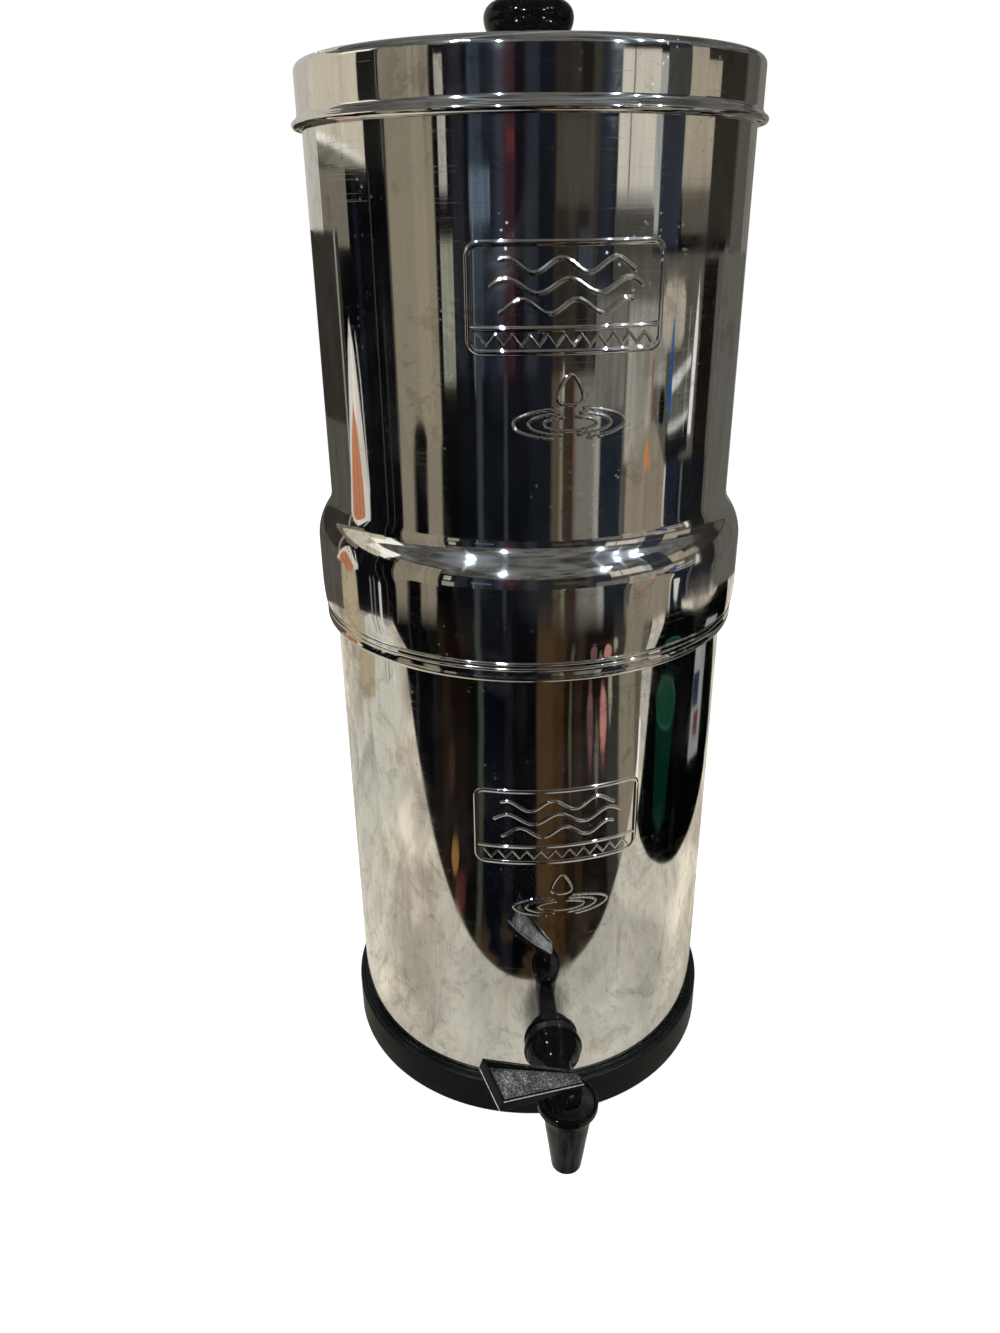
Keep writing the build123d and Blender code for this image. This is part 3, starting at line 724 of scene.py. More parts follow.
class Pen:
    """Draws an outline in the XZ plane by extruding and spinning its newest point."""

    def __init__(self, name: str, radius: float, height: float) -> None:
        """Puts down the first point.

        Args:
            name: Name of the new object.
            radius: Distance from the axis.
            height: Height.
        """
        self.obj = first_point(name, (radius, 0, height))
        self.tip = (radius, height)

    def line(self, radius: float, height: float, runs: int = 1) -> "Pen":
        """Draws a straight line to a point, in one or more runs."""
        step = ((radius - self.tip[0]) / runs, 0, (height - self.tip[1]) / runs)
        for _ in range(runs):
            bpy.ops.mesh.extrude_vertices_move(TRANSFORM_OT_translate={"value": step})
        self.tip = (radius, height)
        return self

    def arc(self, centre: tuple[float, float], sweep: float, steps: int) -> "Pen":
        """Draws an arc.

        Args:
            centre: Its centre, as radius and height.
            sweep: Its angle in degrees, positive from outwards to upwards.
            steps: Number of chords.

        Returns:
            This pen.
        """
        angle = math.radians(sweep)
        bpy.ops.mesh.spin(steps=steps, angle=angle, center=(centre[0], 0, centre[1]), axis=(0, 1, 0))
        dx, dz = self.tip[0] - centre[0], self.tip[1] - centre[1]
        self.tip = (
            centre[0] + dx * math.cos(angle) - dz * math.sin(angle),
            centre[1] + dx * math.sin(angle) + dz * math.cos(angle),
        )
        return self

    def rib(self, height: float, half_width: float, proud: float) -> "Pen":
        """Draws a small rounded rib on an upright line, from its foot to its top."""
        radius = (half_width ** 2 + proud ** 2) / (2 * proud)
        half_angle = math.degrees(math.asin(half_width / radius))
        self.line(self.tip[0], height - half_width)
        return self.arc((self.tip[0] + proud - radius, height), 2 * half_angle, 6)

    def turn(self, at: tuple[float, float] = (0.0, 0.0), steps: int = TURN_STEPS) -> bpy.types.Object:
        """Turns the outline about an upright axis.

        Args:
            at: Where the axis stands, in X and Y. The outline is then drawn about X = 0 and moved there.
            steps: Number of sides.

        Returns:
            The turned object.
        """
        bpy.ops.mesh.select_all(action="SELECT")
        bpy.ops.mesh.remove_doubles(threshold=MERGE)
        bpy.ops.mesh.select_all(action="SELECT")
        bpy.ops.mesh.spin(steps=steps, angle=2 * math.pi, center=(0, 0, 0), axis=(0, 0, 1))
        bpy.ops.mesh.select_all(action="SELECT")
        bpy.ops.mesh.remove_doubles(threshold=MERGE)
        bpy.ops.mesh.normals_make_consistent(inside=False)
        bpy.ops.transform.translate(value=(*at, 0))
        bpy.ops.object.mode_set(mode="OBJECT")
        return self.obj

    def sweep(self, start: float, end: float) -> bpy.types.Object:
        """Sweeps the outline round part of a turn.

        Args:
            start: Direction of its first side, in degrees from +X.
            end: Direction of its last side.

        Returns:
            The swept object.
        """
        bpy.ops.mesh.select_all(action="SELECT")
        steps = max(1, round(abs(end - start) / 3))
        bpy.ops.mesh.spin(steps=steps, angle=math.radians(end - start), center=(0, 0, 0), axis=(0, 0, 1))
        bpy.ops.object.mode_set(mode="OBJECT")
        points = [vertex.co for vertex in self.obj.data.vertices]
        middle = math.atan2(sum(point.y for point in points), sum(point.x for point in points))
        self.obj.rotation_euler.z = math.radians((start + end) / 2) - middle
        bpy.ops.object.transform_apply(location=False, rotation=True, scale=False)
        return self.obj


def spanned(name: str, corners: tuple[tuple[float, float, float], ...]) -> bpy.types.Object:
    """Spans one face between corners.

    Args:
        name: The new object's name.
        corners: The face's outline.

    Returns:
        The object.
    """
    obj = first_point(name, corners[0])
    for before, after in zip(corners[:-1], corners[1:]):
        step = tuple(new - old for old, new in zip(before, after))
        bpy.ops.mesh.extrude_vertices_move(TRANSFORM_OT_translate={"value": step})
    bpy.ops.mesh.select_all(action="SELECT")
    bpy.ops.mesh.edge_face_add()
    bpy.ops.object.mode_set(mode="OBJECT")
    return obj


def disc(name: str, sides: int, radius: float, height: float = 0.0) -> bpy.types.Object:
    """Lays a flat round plate about the vessel's axis.

    Args:
        name: The new object's name.
        sides: Its number of sides.
        radius: Its radius.
        height: Its height.

    Returns:
        The object.
    """
    deselect()
    bpy.ops.mesh.primitive_circle_add(vertices=sides, radius=radius, fill_type="NGON", location=(0, 0, height))
    obj = bpy.context.object
    obj.name = name
    bpy.ops.object.transform_apply(location=True, rotation=False, scale=False)
    return obj


def smooth(obj: bpy.types.Object, degrees: float = 38.0) -> None:
    """Smooths all edges that are flatter than an angle."""
    make_active(obj)
    bpy.ops.object.shade_smooth_by_angle(angle=math.radians(degrees))


def smoothed_copy(node: str, name: str, bevel: float = 0.0) -> bpy.types.Object:
    """Copies a CAD node as one welded, smooth piece.

    Args:
        node: The CAD node.
        name: Name of the copy.
        bevel: Width of the bevel on its sharp edges, or 0.

    Returns:
        The copy, which replaces the node.
    """
    source = frame["nodes"][node]
    obj = bpy.data.objects.new(name, source.data.copy())
    bpy.context.scene.collection.objects.link(obj)
    obj.hide_render = obj.hide_viewport = False
    weld(obj)
    if bevel:
        edit_all(obj)
        bpy.ops.mesh.dissolve_limited(angle_limit=math.radians(0.5))
        bpy.ops.object.mode_set(mode="OBJECT")
        apply_modifier(obj, "BEVEL", width=bevel, segments=2, limit_method="ANGLE", angle_limit=math.radians(50),
                       use_clamp_overlap=True, harden_normals=False)
    smooth(obj)
    apply_modifier(obj, "WEIGHTED_NORMAL", mode="FACE_AREA", weight=50, keep_sharp=True)
    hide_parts(node)
    return obj


def joint(name: str) -> dict:
    """One joint of the record, by its name."""
    return next(entry for entry in frame["record"]["behaviour"]["joints"] if entry["name"] == name)


def report(obj: bpy.types.Object, body: str, slot: str) -> None:
    """Puts a finished piece on its body, and logs it with the name of its slot."""
    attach(obj, body)
    log.info("%s rides on %s with %s: %d faces", obj.name, body, slot, len(obj.data.polygons))


# ---------------------------------------------------------------- pressed relief
@dataclass
class Stroke:
    """A raised line in the sheet, along points in (distance round the wall, height) from the relief's middle."""

    points: list[tuple[float, float]]
    half_width: float
    flank: float
    proud: float


# Half width, flank and height of each kind of stroke.
FRAME_LINE = (1.3 * MM, 0.85 * MM, 0.46 * MM)
STRIP_LINE = (1.05 * MM, 0.8 * MM, 0.40 * MM)
WAVE_LINE = (1.0 * MM, 0.8 * MM, 0.42 * MM)
DASH_LINE = (0.62 * MM, 0.55 * MM, 0.26 * MM)
DROP_LINE = (0.75 * MM, 0.72 * MM, 0.36 * MM)
RIPPLE_LINE = (0.7 * MM, 0.62 * MM, 0.32 * MM)


class Emblem(Enum):
    """Which of the two pressed fields a relief is."""

    PLATE = "plate"
    DROP = "drop"


@dataclass
class Relief:
    """A pressed field: a framed plate with waves, or a drop over ripples."""

    kind: Emblem
    centre: float               # azimuth of its middle from the tap's side, in degrees
    height: float               # height of its middle
    width: float
    depth: float                # from its lowest to its highest line
    strokes: list[Stroke] = field(default_factory=list)

    def draw(self) -> None:
        """Draws the strokes of this field."""
        if self.kind is Emblem.PLATE:
            self._draw_plate()
        else:
            self._draw_drop()

    def _draw_plate(self) -> None:
        """A frame with round corners, a strip under a line, waves above it and a row of dashes in it."""
        half_w, half_h, corner, corner_steps = self.width / 2, self.depth / 2, 5.0 * MM, 8
        outline = []
        for number, (sx, sz) in enumerate(((1, 1), (-1, 1), (-1, -1), (1, -1))):
            x, z = sx * (half_w - corner), sz * (half_h - corner)
            for step in range(corner_steps + 1):
                angle = math.radians(90 * number + 90 * step / corner_steps)
                outline.append((x + corner * math.cos(angle), z + corner * math.sin(angle)))
        self.strokes.append(Stroke([*outline, outline[0]], *FRAME_LINE))

        strip_z = -half_h + 0.225 * self.depth
        self.strokes.append(Stroke([(-half_w, strip_z), (half_w, strip_z)], *STRIP_LINE))

        field_z, field_h = (strip_z + half_h) / 2, half_h - strip_z
        reach, swing, spacing = 0.385 * self.width, 0.085 * field_h, 0.24 * field_h
        waves, wave_steps, shorter, lag = 2.5, 60, 0.12, 0.9
        for number in (-1, 0, 1):
            points = []
            for step in range(wave_steps + 1):
                share = step / wave_steps
                x = reach * (2 * share - 1) * (1.0 - shorter * abs(number))
                swell = swing * math.sin(2 * math.pi * waves * share + lag * number)
                points.append((x, field_z + spacing * number + swell))
            self.strokes.append(Stroke(points, *WAVE_LINE))

        dashes, row, slant = 21, 0.43 * self.width, 0.8
        strip_mid, strip_half = (strip_z - half_h) / 2, 0.055 * self.depth
        for number in range(dashes):
            x = row * (2 * number / (dashes - 1) - 1)
            lean = strip_half * (slant if number % 2 else -slant)
            points = [(x - lean, strip_mid - strip_half), (x + lean, strip_mid + strip_half)]
            self.strokes.append(Stroke(points, *DASH_LINE))

    def _draw_drop(self) -> None:
        """A drop outline over three ripples, all open at the back and the outer two also at the front."""
        half_h, drop_r, drop_steps = self.depth / 2, 0.20 * self.depth, 48
        drop_z = half_h - 0.62 * self.depth + drop_r
        neck = half_h - drop_z - drop_r
        points = []
        for step in range(drop_steps + 1):
            angle = 2 * math.pi * step / drop_steps
            taper = 0.5 * (1 + math.cos(angle))
            x = drop_r * math.sin(angle) * (1 - 0.55 * taper ** 0.8) * 1.25
            points.append((x, drop_z - drop_r * (1 - 2 * taper) * 0.5 + neck * taper ** 1.6))
        self.strokes.append(Stroke(points, *DROP_LINE))

        ripple_z, ripple_steps, back_end = -half_h + 0.22 * self.depth, 24, 166
        for share_w, share_d, gap in ((0.24, 0.10, 0.0), (0.37, 0.16, 24.0), (0.5, 0.22, 38.0)):
            half_w, half_d = share_w * self.width, share_d * self.depth
            for side in (-1, 1):
                angles = [math.radians(-90 + side * (gap / 2 + (back_end - gap / 2) * step / ripple_steps))
                          for step in range(ripple_steps + 1)]
                arc = [(half_w * math.cos(angle), ripple_z + half_d * math.sin(angle)) for angle in angles]
                self.strokes.append(Stroke(arc, *RIPPLE_LINE))

    def rise(self, u: np.ndarray, z: np.ndarray) -> np.ndarray:
        """Height of the relief.

        Args:
            u: Distances round the wall from the relief's middle.
            z: Heights from its middle.

        Returns:
            How far the sheet stands proud at each place.
        """
        far, no_length = 1.0, 1e-18
        rise = np.zeros(u.shape)
        for stroke in self.strokes:
            nearest = np.full(u.shape, far)
            for (u0, z0), (u1, z1) in zip(stroke.points[:-1], stroke.points[1:]):
                du, dz = u1 - u0, z1 - z0
                share = np.clip(((u - u0) * du + (z - z0) * dz) / (du * du + dz * dz + no_length), 0, 1)
                nearest = np.minimum(nearest, np.hypot(u - u0 - share * du, z - z0 - share * dz))
            edge = np.clip((stroke.half_width - nearest) / stroke.flank, 0, 1)
            rise = np.maximum(rise, stroke.proud * edge * edge * (3 - 2 * edge))
        return rise


@dataclass
class PressedWall:
    """The straight part of a wall whose sheet carries pressed relief."""

    radius: float
    sheet: float
    low: float
    high: float
    reliefs: list[Relief]
    margin: float = 4.0 * MM            # how far the divided sheet reaches past a relief
    cuts: int = 5
    outer_in: float = 0.4               # shares of the sheet that tell its outer skin from its inner one
    outer_out: float = 0.1
    inner_band: float = 0.3
    tiny: float = 0.03 * MM             # step over which the relief's slope is taken

    def _near(self, relief: Relief, u: "float | np.ndarray", z: "float | np.ndarray") -> "bool | np.ndarray":
        """Whether places lie on a relief or in the margin round it.

        Args:
            relief: The relief.
            u: Distances round the wall from its middle.
            z: Heights from its middle.

        Returns:
            One answer for each place.
        """
        return (abs(u) < relief.width / 2 + self.margin) & (abs(z) < relief.depth / 2 + self.margin)

    def _in_relief(self, centre: Vector) -> bool:
        """Whether a face's middle lies in the outer skin under one of the reliefs."""
        if math.hypot(centre.x, centre.y) < self.radius - self.outer_in * self.sheet:
            return False
        azimuth = math.degrees(math.atan2(centre.x, -centre.y))
        return any(self._near(relief, math.radians(azimuth - relief.centre) * self.radius, centre.z - relief.height)
                   for relief in self.reliefs)

    def press(self, obj: bpy.types.Object) -> None:
        """Divides the sheet under the reliefs, presses them out and gives the wall its exact normals.

        Args:
            obj: The turned wall.
        """
        for relief in self.reliefs:
            relief.draw()
        count = select_faces(obj, lambda centre, normal: self._in_relief(centre))
        bpy.ops.mesh.subdivide(number_cuts=self.cuts)
        bpy.ops.object.mode_set(mode="OBJECT")
        log.info("%s: %d faces are divided for the relief", obj.name, count)
        smooth(obj)
        mesh = obj.data
        points = np.zeros(3 * len(mesh.vertices))
        mesh.vertices.foreach_get("co", points)
        points = points.reshape(-1, 3)
        radius = np.hypot(points[:, 0], points[:, 1])
        straight = (points[:, 2] > self.low) & (points[:, 2] < self.high)
        outer = straight & (radius > self.radius - self.outer_in * self.sheet)
        outer &= radius < self.radius + self.outer_out * self.sheet
        inner = straight & (np.abs(radius - (self.radius - self.sheet)) < self.inner_band * self.sheet)
        angle = np.arctan2(points[:, 0], -points[:, 1])
        tiny = self.tiny
        rise, across, upward = (np.zeros(len(points)) for _ in range(3))
        for relief in self.reliefs:
            u = (angle - math.radians(relief.centre)) * self.radius
            z = points[:, 2] - relief.height
            near = outer & self._near(relief, u, z)
            un, zn = u[near], z[near]
            rise[near] += relief.rise(un, zn)
            across[near] += (relief.rise(un + tiny, zn) - relief.rise(un - tiny, zn)) / (2 * tiny)
            upward[near] += (relief.rise(un, zn + tiny) - relief.rise(un, zn - tiny)) / (2 * tiny)
        outward = np.stack([np.sin(angle), -np.cos(angle), np.zeros(len(points))], 1)
        sideways = np.stack([np.cos(angle), np.sin(angle), np.zeros(len(points))], 1)
        points[outer] = (outward * (self.radius + rise)[:, None] + [0, 0, 1] * points[:, 2:3])[outer]
        mesh.vertices.foreach_set("co", points.ravel())
        mesh.update()
        exact = outward - sideways * across[:, None] - np.array([0, 0, 1.0]) * upward[:, None]
        exact /= np.linalg.norm(exact, axis=1)[:, None]
        exact[inner] = -outward[inner]
        corner = np.zeros(3 * len(mesh.loops), np.float32)
        mesh.corner_normals.foreach_get("vector", corner)
        corner = corner.reshape(-1, 3)
        of_vertex = np.zeros(len(mesh.loops), np.int32)
        mesh.loops.foreach_get("vertex_index", of_vertex)
        known = (outer | inner)[of_vertex]
        corner[known] = exact[of_vertex][known]
        mesh.normals_split_custom_set([tuple(float(part) for part in normal) for normal in corner])


# ---------------------------------------------------------------- lower chamber
@dataclass
class LowerChamber:
    """Rubber base ring and the straight lower wall with its pressed fields and the tap's hole."""

    body: str = "lower_chamber"
    sheet: float = 0.8 * MM
    rim_bead: float = 2.0 * MM
    ring_edge: float = 1.6 * MM
    ring_groove: float = 1.0 * MM
    ring_groove_depth: float = 0.9 * MM
    ring_groove_edge: float = 0.2 * MM
    ring_shelf: float = 1.2 * MM
    ring_foot_edge: float = 1.0 * MM
    ring_width: float = 12.2 * MM
    ring_lip: float = 0.35 * MM             # from the wall to where the ring's inner edge starts to round
    ring_lip_edge: float = 0.3 * MM
    ring_gap: float = 0.05 * MM             # between ring and wall
    ring_inner_gap: float = 0.1 * MM        # between ring and the inside of the wall
    tap_hole: float = 8.3 * MM
    drill_length: float = 40.0 * MM
    row: float = 3.0 * MM                   # height of the wall's rows of faces under the reliefs

    def build_ring(self, finishes: Finishes) -> None:
        """Turns the base ring with rounded edges and the groove in its top."""
        low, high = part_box("base_ring")
        wall, web_z, lip_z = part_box("lower_wall")[1].x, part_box("lower_wall")[0].z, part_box("lower_floor")[0].z
        lip_r, bore = wall - self.sheet - self.ring_inner_gap, high.x - self.ring_width
        groove_r, groove_z = wall + self.ring_shelf, high.z - self.ring_groove_depth
        edge, foot, small = self.ring_edge, self.ring_foot_edge, self.ring_groove_edge
        groove_out = groove_r + self.ring_groove
        pen = Pen("base_ring_moulding", bore, low.z)
        pen.line(high.x - foot, low.z).arc((high.x - foot, low.z + foot), 90, 5)
        pen.line(high.x, high.z - edge).arc((high.x - edge, high.z - edge), 90, 8)
        pen.line(groove_out + small, high.z).arc((groove_out + small, high.z - small), 90, 3)
        pen.line(groove_out, groove_z).line(groove_r, groove_z).line(groove_r, high.z - small)
        pen.arc((groove_r - small, high.z - small), 90, 3)
        pen.line(wall + self.ring_lip, high.z).arc((wall + self.ring_lip, high.z - self.ring_lip_edge), 90, 3)
        pen.line(wall + self.ring_gap, web_z).line(lip_r, web_z).line(lip_r, lip_z).line(bore, lip_z)
        pen.line(bore, low.z)
        ring = pen.turn()
        smooth(ring)
        finishes.put(ring, "black_rubber")
        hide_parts("base_ring")
        report(ring, self.body, "black_rubber")

    def build_wall(self, finishes: Finishes) -> None:
        """Turns the wall, bores the tap's hole and presses its two fields."""
        low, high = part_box("lower_wall")
        radius, inside, bead = high.x, high.x - self.sheet, self.rim_bead
        meet = math.degrees(math.acos((bead - self.sheet) / bead))
        plate = Relief(Emblem.PLATE, 1.0, 209.9 * MM, 91.0 * MM, 45.5 * MM)
        drop = Relief(Emblem.DROP, 2.0, 165.5 * MM, 54.0 * MM, 31.0 * MM)
        rows_low, rows_high = 144.0 * MM, 240.0 * MM
        pen = Pen("lower_wall_sheet", radius, low.z)
        pen.line(radius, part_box("base_ring")[1].z).line(radius, rows_low, 6)
        pen.line(radius, rows_high, round((rows_high - rows_low) / self.row))
        pen.line(radius, high.z - bead, 8).arc((radius - bead, high.z - bead), 360 - meet, 22)
        pen.line(inside, low.z, 6).line(radius, low.z)
        wall = pen.turn()
        tap_z = joint("lever_swivel")["pos_m"][2]
        deselect()
        bpy.ops.mesh.primitive_cylinder_add(vertices=64, radius=self.tap_hole, depth=self.drill_length,
                                            location=(0, -radius, tap_z), rotation=(math.pi / 2, 0, 0))
        drill = bpy.context.object
        apply_modifier(wall, "BOOLEAN", operation="DIFFERENCE", object=drill, solver="EXACT")
        bpy.data.objects.remove(drill)
        PressedWall(radius, self.sheet, low.z - MM, high.z - bead - BEND_GAP, [plate, drop]).press(wall)
        finishes.put(wall, "polished_steel")
        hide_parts("lower_wall")
        report(wall, self.body, "polished_steel")


# ---------------------------------------------------------------- upper chamber
@dataclass
class UpperChamber:
    """Upper wall, shoulder, skirt and hem in one sheet."""

    body: str = "upper_chamber"
    sheet: float = 0.8 * MM
    rim_bead: float = 2.0 * MM
    shoulder_out: float = 27.0 * MM
    shoulder_in: float = 17.0 * MM
    band_height: float = 21.0 * MM
    belly_height: float = 20.0 * MM
    belly_in: float = 1.35 * MM
    hem_bead: float = 2.4 * MM
    hem_meet: float = 30.0                  # where the skirt meets the rolled hem, in degrees from level
    rib_heights: tuple[float, float] = (5.1 * MM, 8.0 * MM)     # above the middle of the rolled hem
    rib_half_width: float = 0.85 * MM
    rib_proud: float = 0.38 * MM
    rib_root: float = 0.25 * MM             # how far the ribs stand inside the belly's foot
    rib_gap: float = 0.8 * MM               # from the upper rib to the belly's arc
    row: float = 3.0 * MM                   # height of the wall's rows of faces under the reliefs

    def build_wall(self, finishes: Finishes) -> None:
        """Turns the sheet and presses its two fields."""
        wall_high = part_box("upper_wall")[1]
        skirt_low, skirt_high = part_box("upper_skirt")
        radius, inside, bead = wall_high.x, wall_high.x - self.sheet, self.rim_bead
        band, rim_z, top_z = skirt_high.x, wall_high.z, skirt_high.z
        turn = math.acos(1 - (band - radius) / (self.shoulder_out + self.shoulder_in))
        foot_z = top_z - (self.shoulder_out + self.shoulder_in) * math.sin(turn)
        band_z = foot_z - self.band_height
        belly_r = (self.belly_height ** 2 + self.belly_in ** 2) / (2 * self.belly_in)
        hem_top = (band - self.belly_in, band_z - self.belly_height)
        hem_at = (hem_top[0] - self.hem_bead, skirt_low.z + self.hem_bead)
        angle = math.degrees(turn)
        meet = math.degrees(math.acos((bead - self.sheet) / bead))
        plate = Relief(Emblem.PLATE, 1.5, 479.3 * MM, 88.5 * MM, 44.6 * MM)
        drop = Relief(Emblem.DROP, 2.2, 434.6 * MM, 52.0 * MM, 32.0 * MM)
        rows_low, rows_high = 411.0 * MM, 510.0 * MM
        in_centre = (radius + self.shoulder_in, top_z)
        out_centre = (band - self.shoulder_out, foot_z)
        hem_r, hem_sheet = self.hem_bead, math.degrees(self.sheet / self.hem_bead)
        outer_meet, inner_meet = math.radians(self.hem_meet), math.radians(self.hem_meet + hem_sheet)
        pen = Pen("upper_chamber_sheet", hem_at[0] + hem_r * math.cos(outer_meet),
                  hem_at[1] + hem_r * math.sin(outer_meet))
        first = pen.tip
        pen.line(hem_top[0] - self.rib_root, hem_at[1] + self.rib_heights[0] - self.rib_half_width)
        for height in self.rib_heights:
            pen.rib(hem_at[1] + height, self.rib_half_width, self.rib_proud)
        self._belly(pen, (band - belly_r, band_z), belly_r)
        pen.line(band, foot_z, 6).arc(out_centre, angle, 14).arc(in_centre, -angle, 12)
        pen.line(radius, rows_low, 4).line(radius, rows_high, round((rows_high - rows_low) / self.row))
        pen.line(radius, rim_z - bead, 6).arc((radius - bead, rim_z - bead), 360 - meet, 22)
        pen.line(inside, top_z, 6).arc(in_centre, angle, 10).arc(out_centre, -angle, 10)
        pen.line(band - self.sheet, band_z, 3)
        pen.line(hem_top[0] - self.sheet, hem_top[1], 3)
        pen.line(hem_at[0] + hem_r * math.cos(inner_meet), hem_at[1] + hem_r * math.sin(inner_meet))
        pen.arc(hem_at, 360 - hem_sheet, 26)
        pen.line(*first)
        wall = pen.turn()
        PressedWall(radius, self.sheet, top_z + BEND_GAP, rim_z - bead - BEND_GAP, [plate, drop]).press(wall)
        finishes.put(wall, "polished_steel")
        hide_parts("upper_wall", "upper_skirt")
        report(wall, self.body, "polished_steel")

    def _belly(self, pen: Pen, centre: tuple[float, float], radius: float) -> None:
        """Carries the outline from the top rib up the belly's arc to the straight band."""
        start = math.asin((centre[1] - pen.tip[1] - self.rib_gap) / radius)
        pen.line(centre[0] + radius * math.cos(start), centre[1] - radius * math.sin(start))
        pen.arc(centre, math.degrees(start), 8)


# ---------------------------------------------------------------- lid
@dataclass
class Lid:
    """Lid sheet with a raised middle and a flared hem, and its moulded knob."""

    body: str = "lid"
    sheet: float = 0.8 * MM
    edge: float = 4.0 * MM
    bead: float = 1.9 * MM
    flare: float = 4.0 * MM
    out: float = 2.0 * MM               # wall beyond the upper chamber's
    shelf: float = 19.9 * MM
    slope: float = 6.0 * MM
    panel_up: float = 1.6 * MM
    ease: float = 0.08 * MM             # softens both ends of the slope
    drop: float = 26.2 * MM             # from the top to the middle of the rolled hem
    hole: float = 2.6 * MM
    knob_edge: float = 7.0 * MM
    knob_wide_z: float = 17.75 * MM
    knob_under: float = 10.2 * MM
    knob_under_turn: float = 56.0       # degrees of the arc below the widest part
    knob_neck: float = 11.5 * MM
    knob_foot: float = 13.5 * MM

    def build_shell(self, finishes: Finishes) -> None:
        """Turns the lid's sheet."""
        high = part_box("lid_shell")[1]
        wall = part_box("upper_wall")[1].x + self.out
        panel_z = high.z
        top_z = panel_z - self.panel_up
        inside = wall - self.sheet
        bead_at = (inside + self.bead, top_z - self.drop)
        flare_dr = wall + self.flare - bead_at[0]
        flare_up = math.sqrt((self.flare + self.bead) ** 2 - flare_dr ** 2)
        flare_at = (wall + self.flare, bead_at[1] + flare_up)
        meet = math.degrees(math.atan2(flare_up, flare_dr))
        bend_at = (wall - self.edge, top_z - self.edge)
        slope_r = wall - self.shelf
        panel_r = slope_r - self.slope
        pen = Pen("lid_sheet", self.hole, panel_z)
        pen.line(panel_r - MM, panel_z, 4).line(panel_r, panel_z - self.ease).line(slope_r, top_z + self.ease, 3)
        pen.line(slope_r + MM, top_z).line(bend_at[0], top_z, 3).arc(bend_at, -90, 12)
        pen.line(wall, flare_at[1], 4).arc(flare_at, meet, 12).arc(bead_at, -(180 + meet), 20)
        pen.line(inside, bend_at[1], 4).arc(bend_at, 90, 8).line(slope_r, top_z - self.sheet, 2)
        pen.line(panel_r, panel_z - self.sheet).line(self.hole, panel_z - self.sheet, 3).line(self.hole, panel_z)
        shell = pen.turn()
        smooth(shell)
        finishes.put(shell, "polished_steel")
        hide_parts("lid_shell")
        report(shell, self.body, "polished_steel")

    def build_knob(self, finishes: Finishes) -> None:
        """Turns the knob with a domed top, a round edge, a waist and a foot."""
        low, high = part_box("lid_knob")
        wide, edge, under = high.x, self.knob_edge, self.knob_under
        wide_z = low.z + self.knob_wide_z
        cap_angle = self._cap_angle(wide, edge, high.z - wide_z)
        cap_r = (wide - edge) / math.cos(cap_angle) + edge
        neck, foot = self.knob_neck, self.knob_foot
        waist = ((neck, 5.0 * MM), (neck + 0.1 * MM, 3.4 * MM), (neck + 0.8 * MM, 2.0 * MM),
                 (foot - 0.3 * MM, 1.4 * MM), (foot, 1.1 * MM), (foot, 0.15 * MM), (foot - 0.15 * MM, 0.0))
        pen = Pen("lid_knob_moulding", 0.0, high.z)
        pen.arc((0.0, high.z - cap_r), math.degrees(cap_angle) - 90, 14)
        pen.arc((wide - edge, wide_z), -math.degrees(cap_angle), 12)
        pen.arc((wide - under, wide_z), -self.knob_under_turn, 10)
        pen.line(neck + 0.9 * MM, low.z + 6.4 * MM, 2)
        for radius, up in waist:
            pen.line(radius, low.z + up)
        pen.line(0.0, low.z, 2)
        knob = pen.turn(steps=128)
        smooth(knob, 50)
        finishes.put(knob, "black_gloss")
        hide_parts("lid_knob")
        report(knob, self.body, "black_gloss")

    @staticmethod
    def _cap_angle(wide: float, edge: float, rise: float) -> float:
        """Angle above level at which the domed top runs smoothly into the round edge.

        Args:
            wide: Radius of the widest part.
            edge: Radius of the round edge.
            rise: From the widest part to the top.

        Returns:
            The angle in radians.
        """
        reach, margin, halvings = wide - edge, 0.05, 40
        low, high = margin, math.pi / 2 - margin
        for _ in range(halvings):
            angle = (low + high) / 2
            centre_drop = reach * math.tan(angle)
            top = reach / math.cos(angle) + edge - centre_drop
            low, high = (angle, high) if top > rise else (low, angle)
        return angle


# ---------------------------------------------------------------- tap
@dataclass
class Tap:
    """Moulded tap: body, washers, bonnet with its dish, glide ring, stem and pin."""

    still: str = "lower_chamber"

    def build(self, finishes: Finishes) -> None:
        """Makes the smooth pieces of the tap from their solids, and dresses them."""
        pieces = [
            ("tap_body", "tap_body_moulding", self.still, "tap_moulding", "black_gloss"),
            ("tap_washer_outer", "tap_washer_front", self.still, "black_rubber", "black_rubber"),
            ("tap_bonnet", "tap_bonnet_moulding", self.still, "black_gloss", "black_gloss"),
            ("tap_glide_ring", "tap_dish_ring", "tap_swivel", "dusty_dish", "black_matte"),
            ("tap_stem", "tap_stem_moulding", "tap_valve", "white_plastic", "white_plastic"),
            ("tap_lever_pin", "tap_pin", "tap_valve", "dark_pin", "screw_steel"),
        ]
        for node, name, body, finish, slot in pieces:
            obj = smoothed_copy(node, name)
            finishes.put(obj, finish)
            report(obj, body, slot)
        self._build_spring(finishes)

    def _build_spring(self, finishes: Finishes) -> None:
        """Makes the closing spring as a smooth copy of its solid, with a mesh of its own."""
        low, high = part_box("tap_spring")
        lift = joint("stem_lift")
        spring = smoothed_copy("tap_spring", "tap_spring_coil")
        finishes.put(spring, "screw_steel")
        report(spring, self.still, "screw_steel")
        1 - lift["range_m"][1] / (high.z - low.z)
        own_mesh(spring)


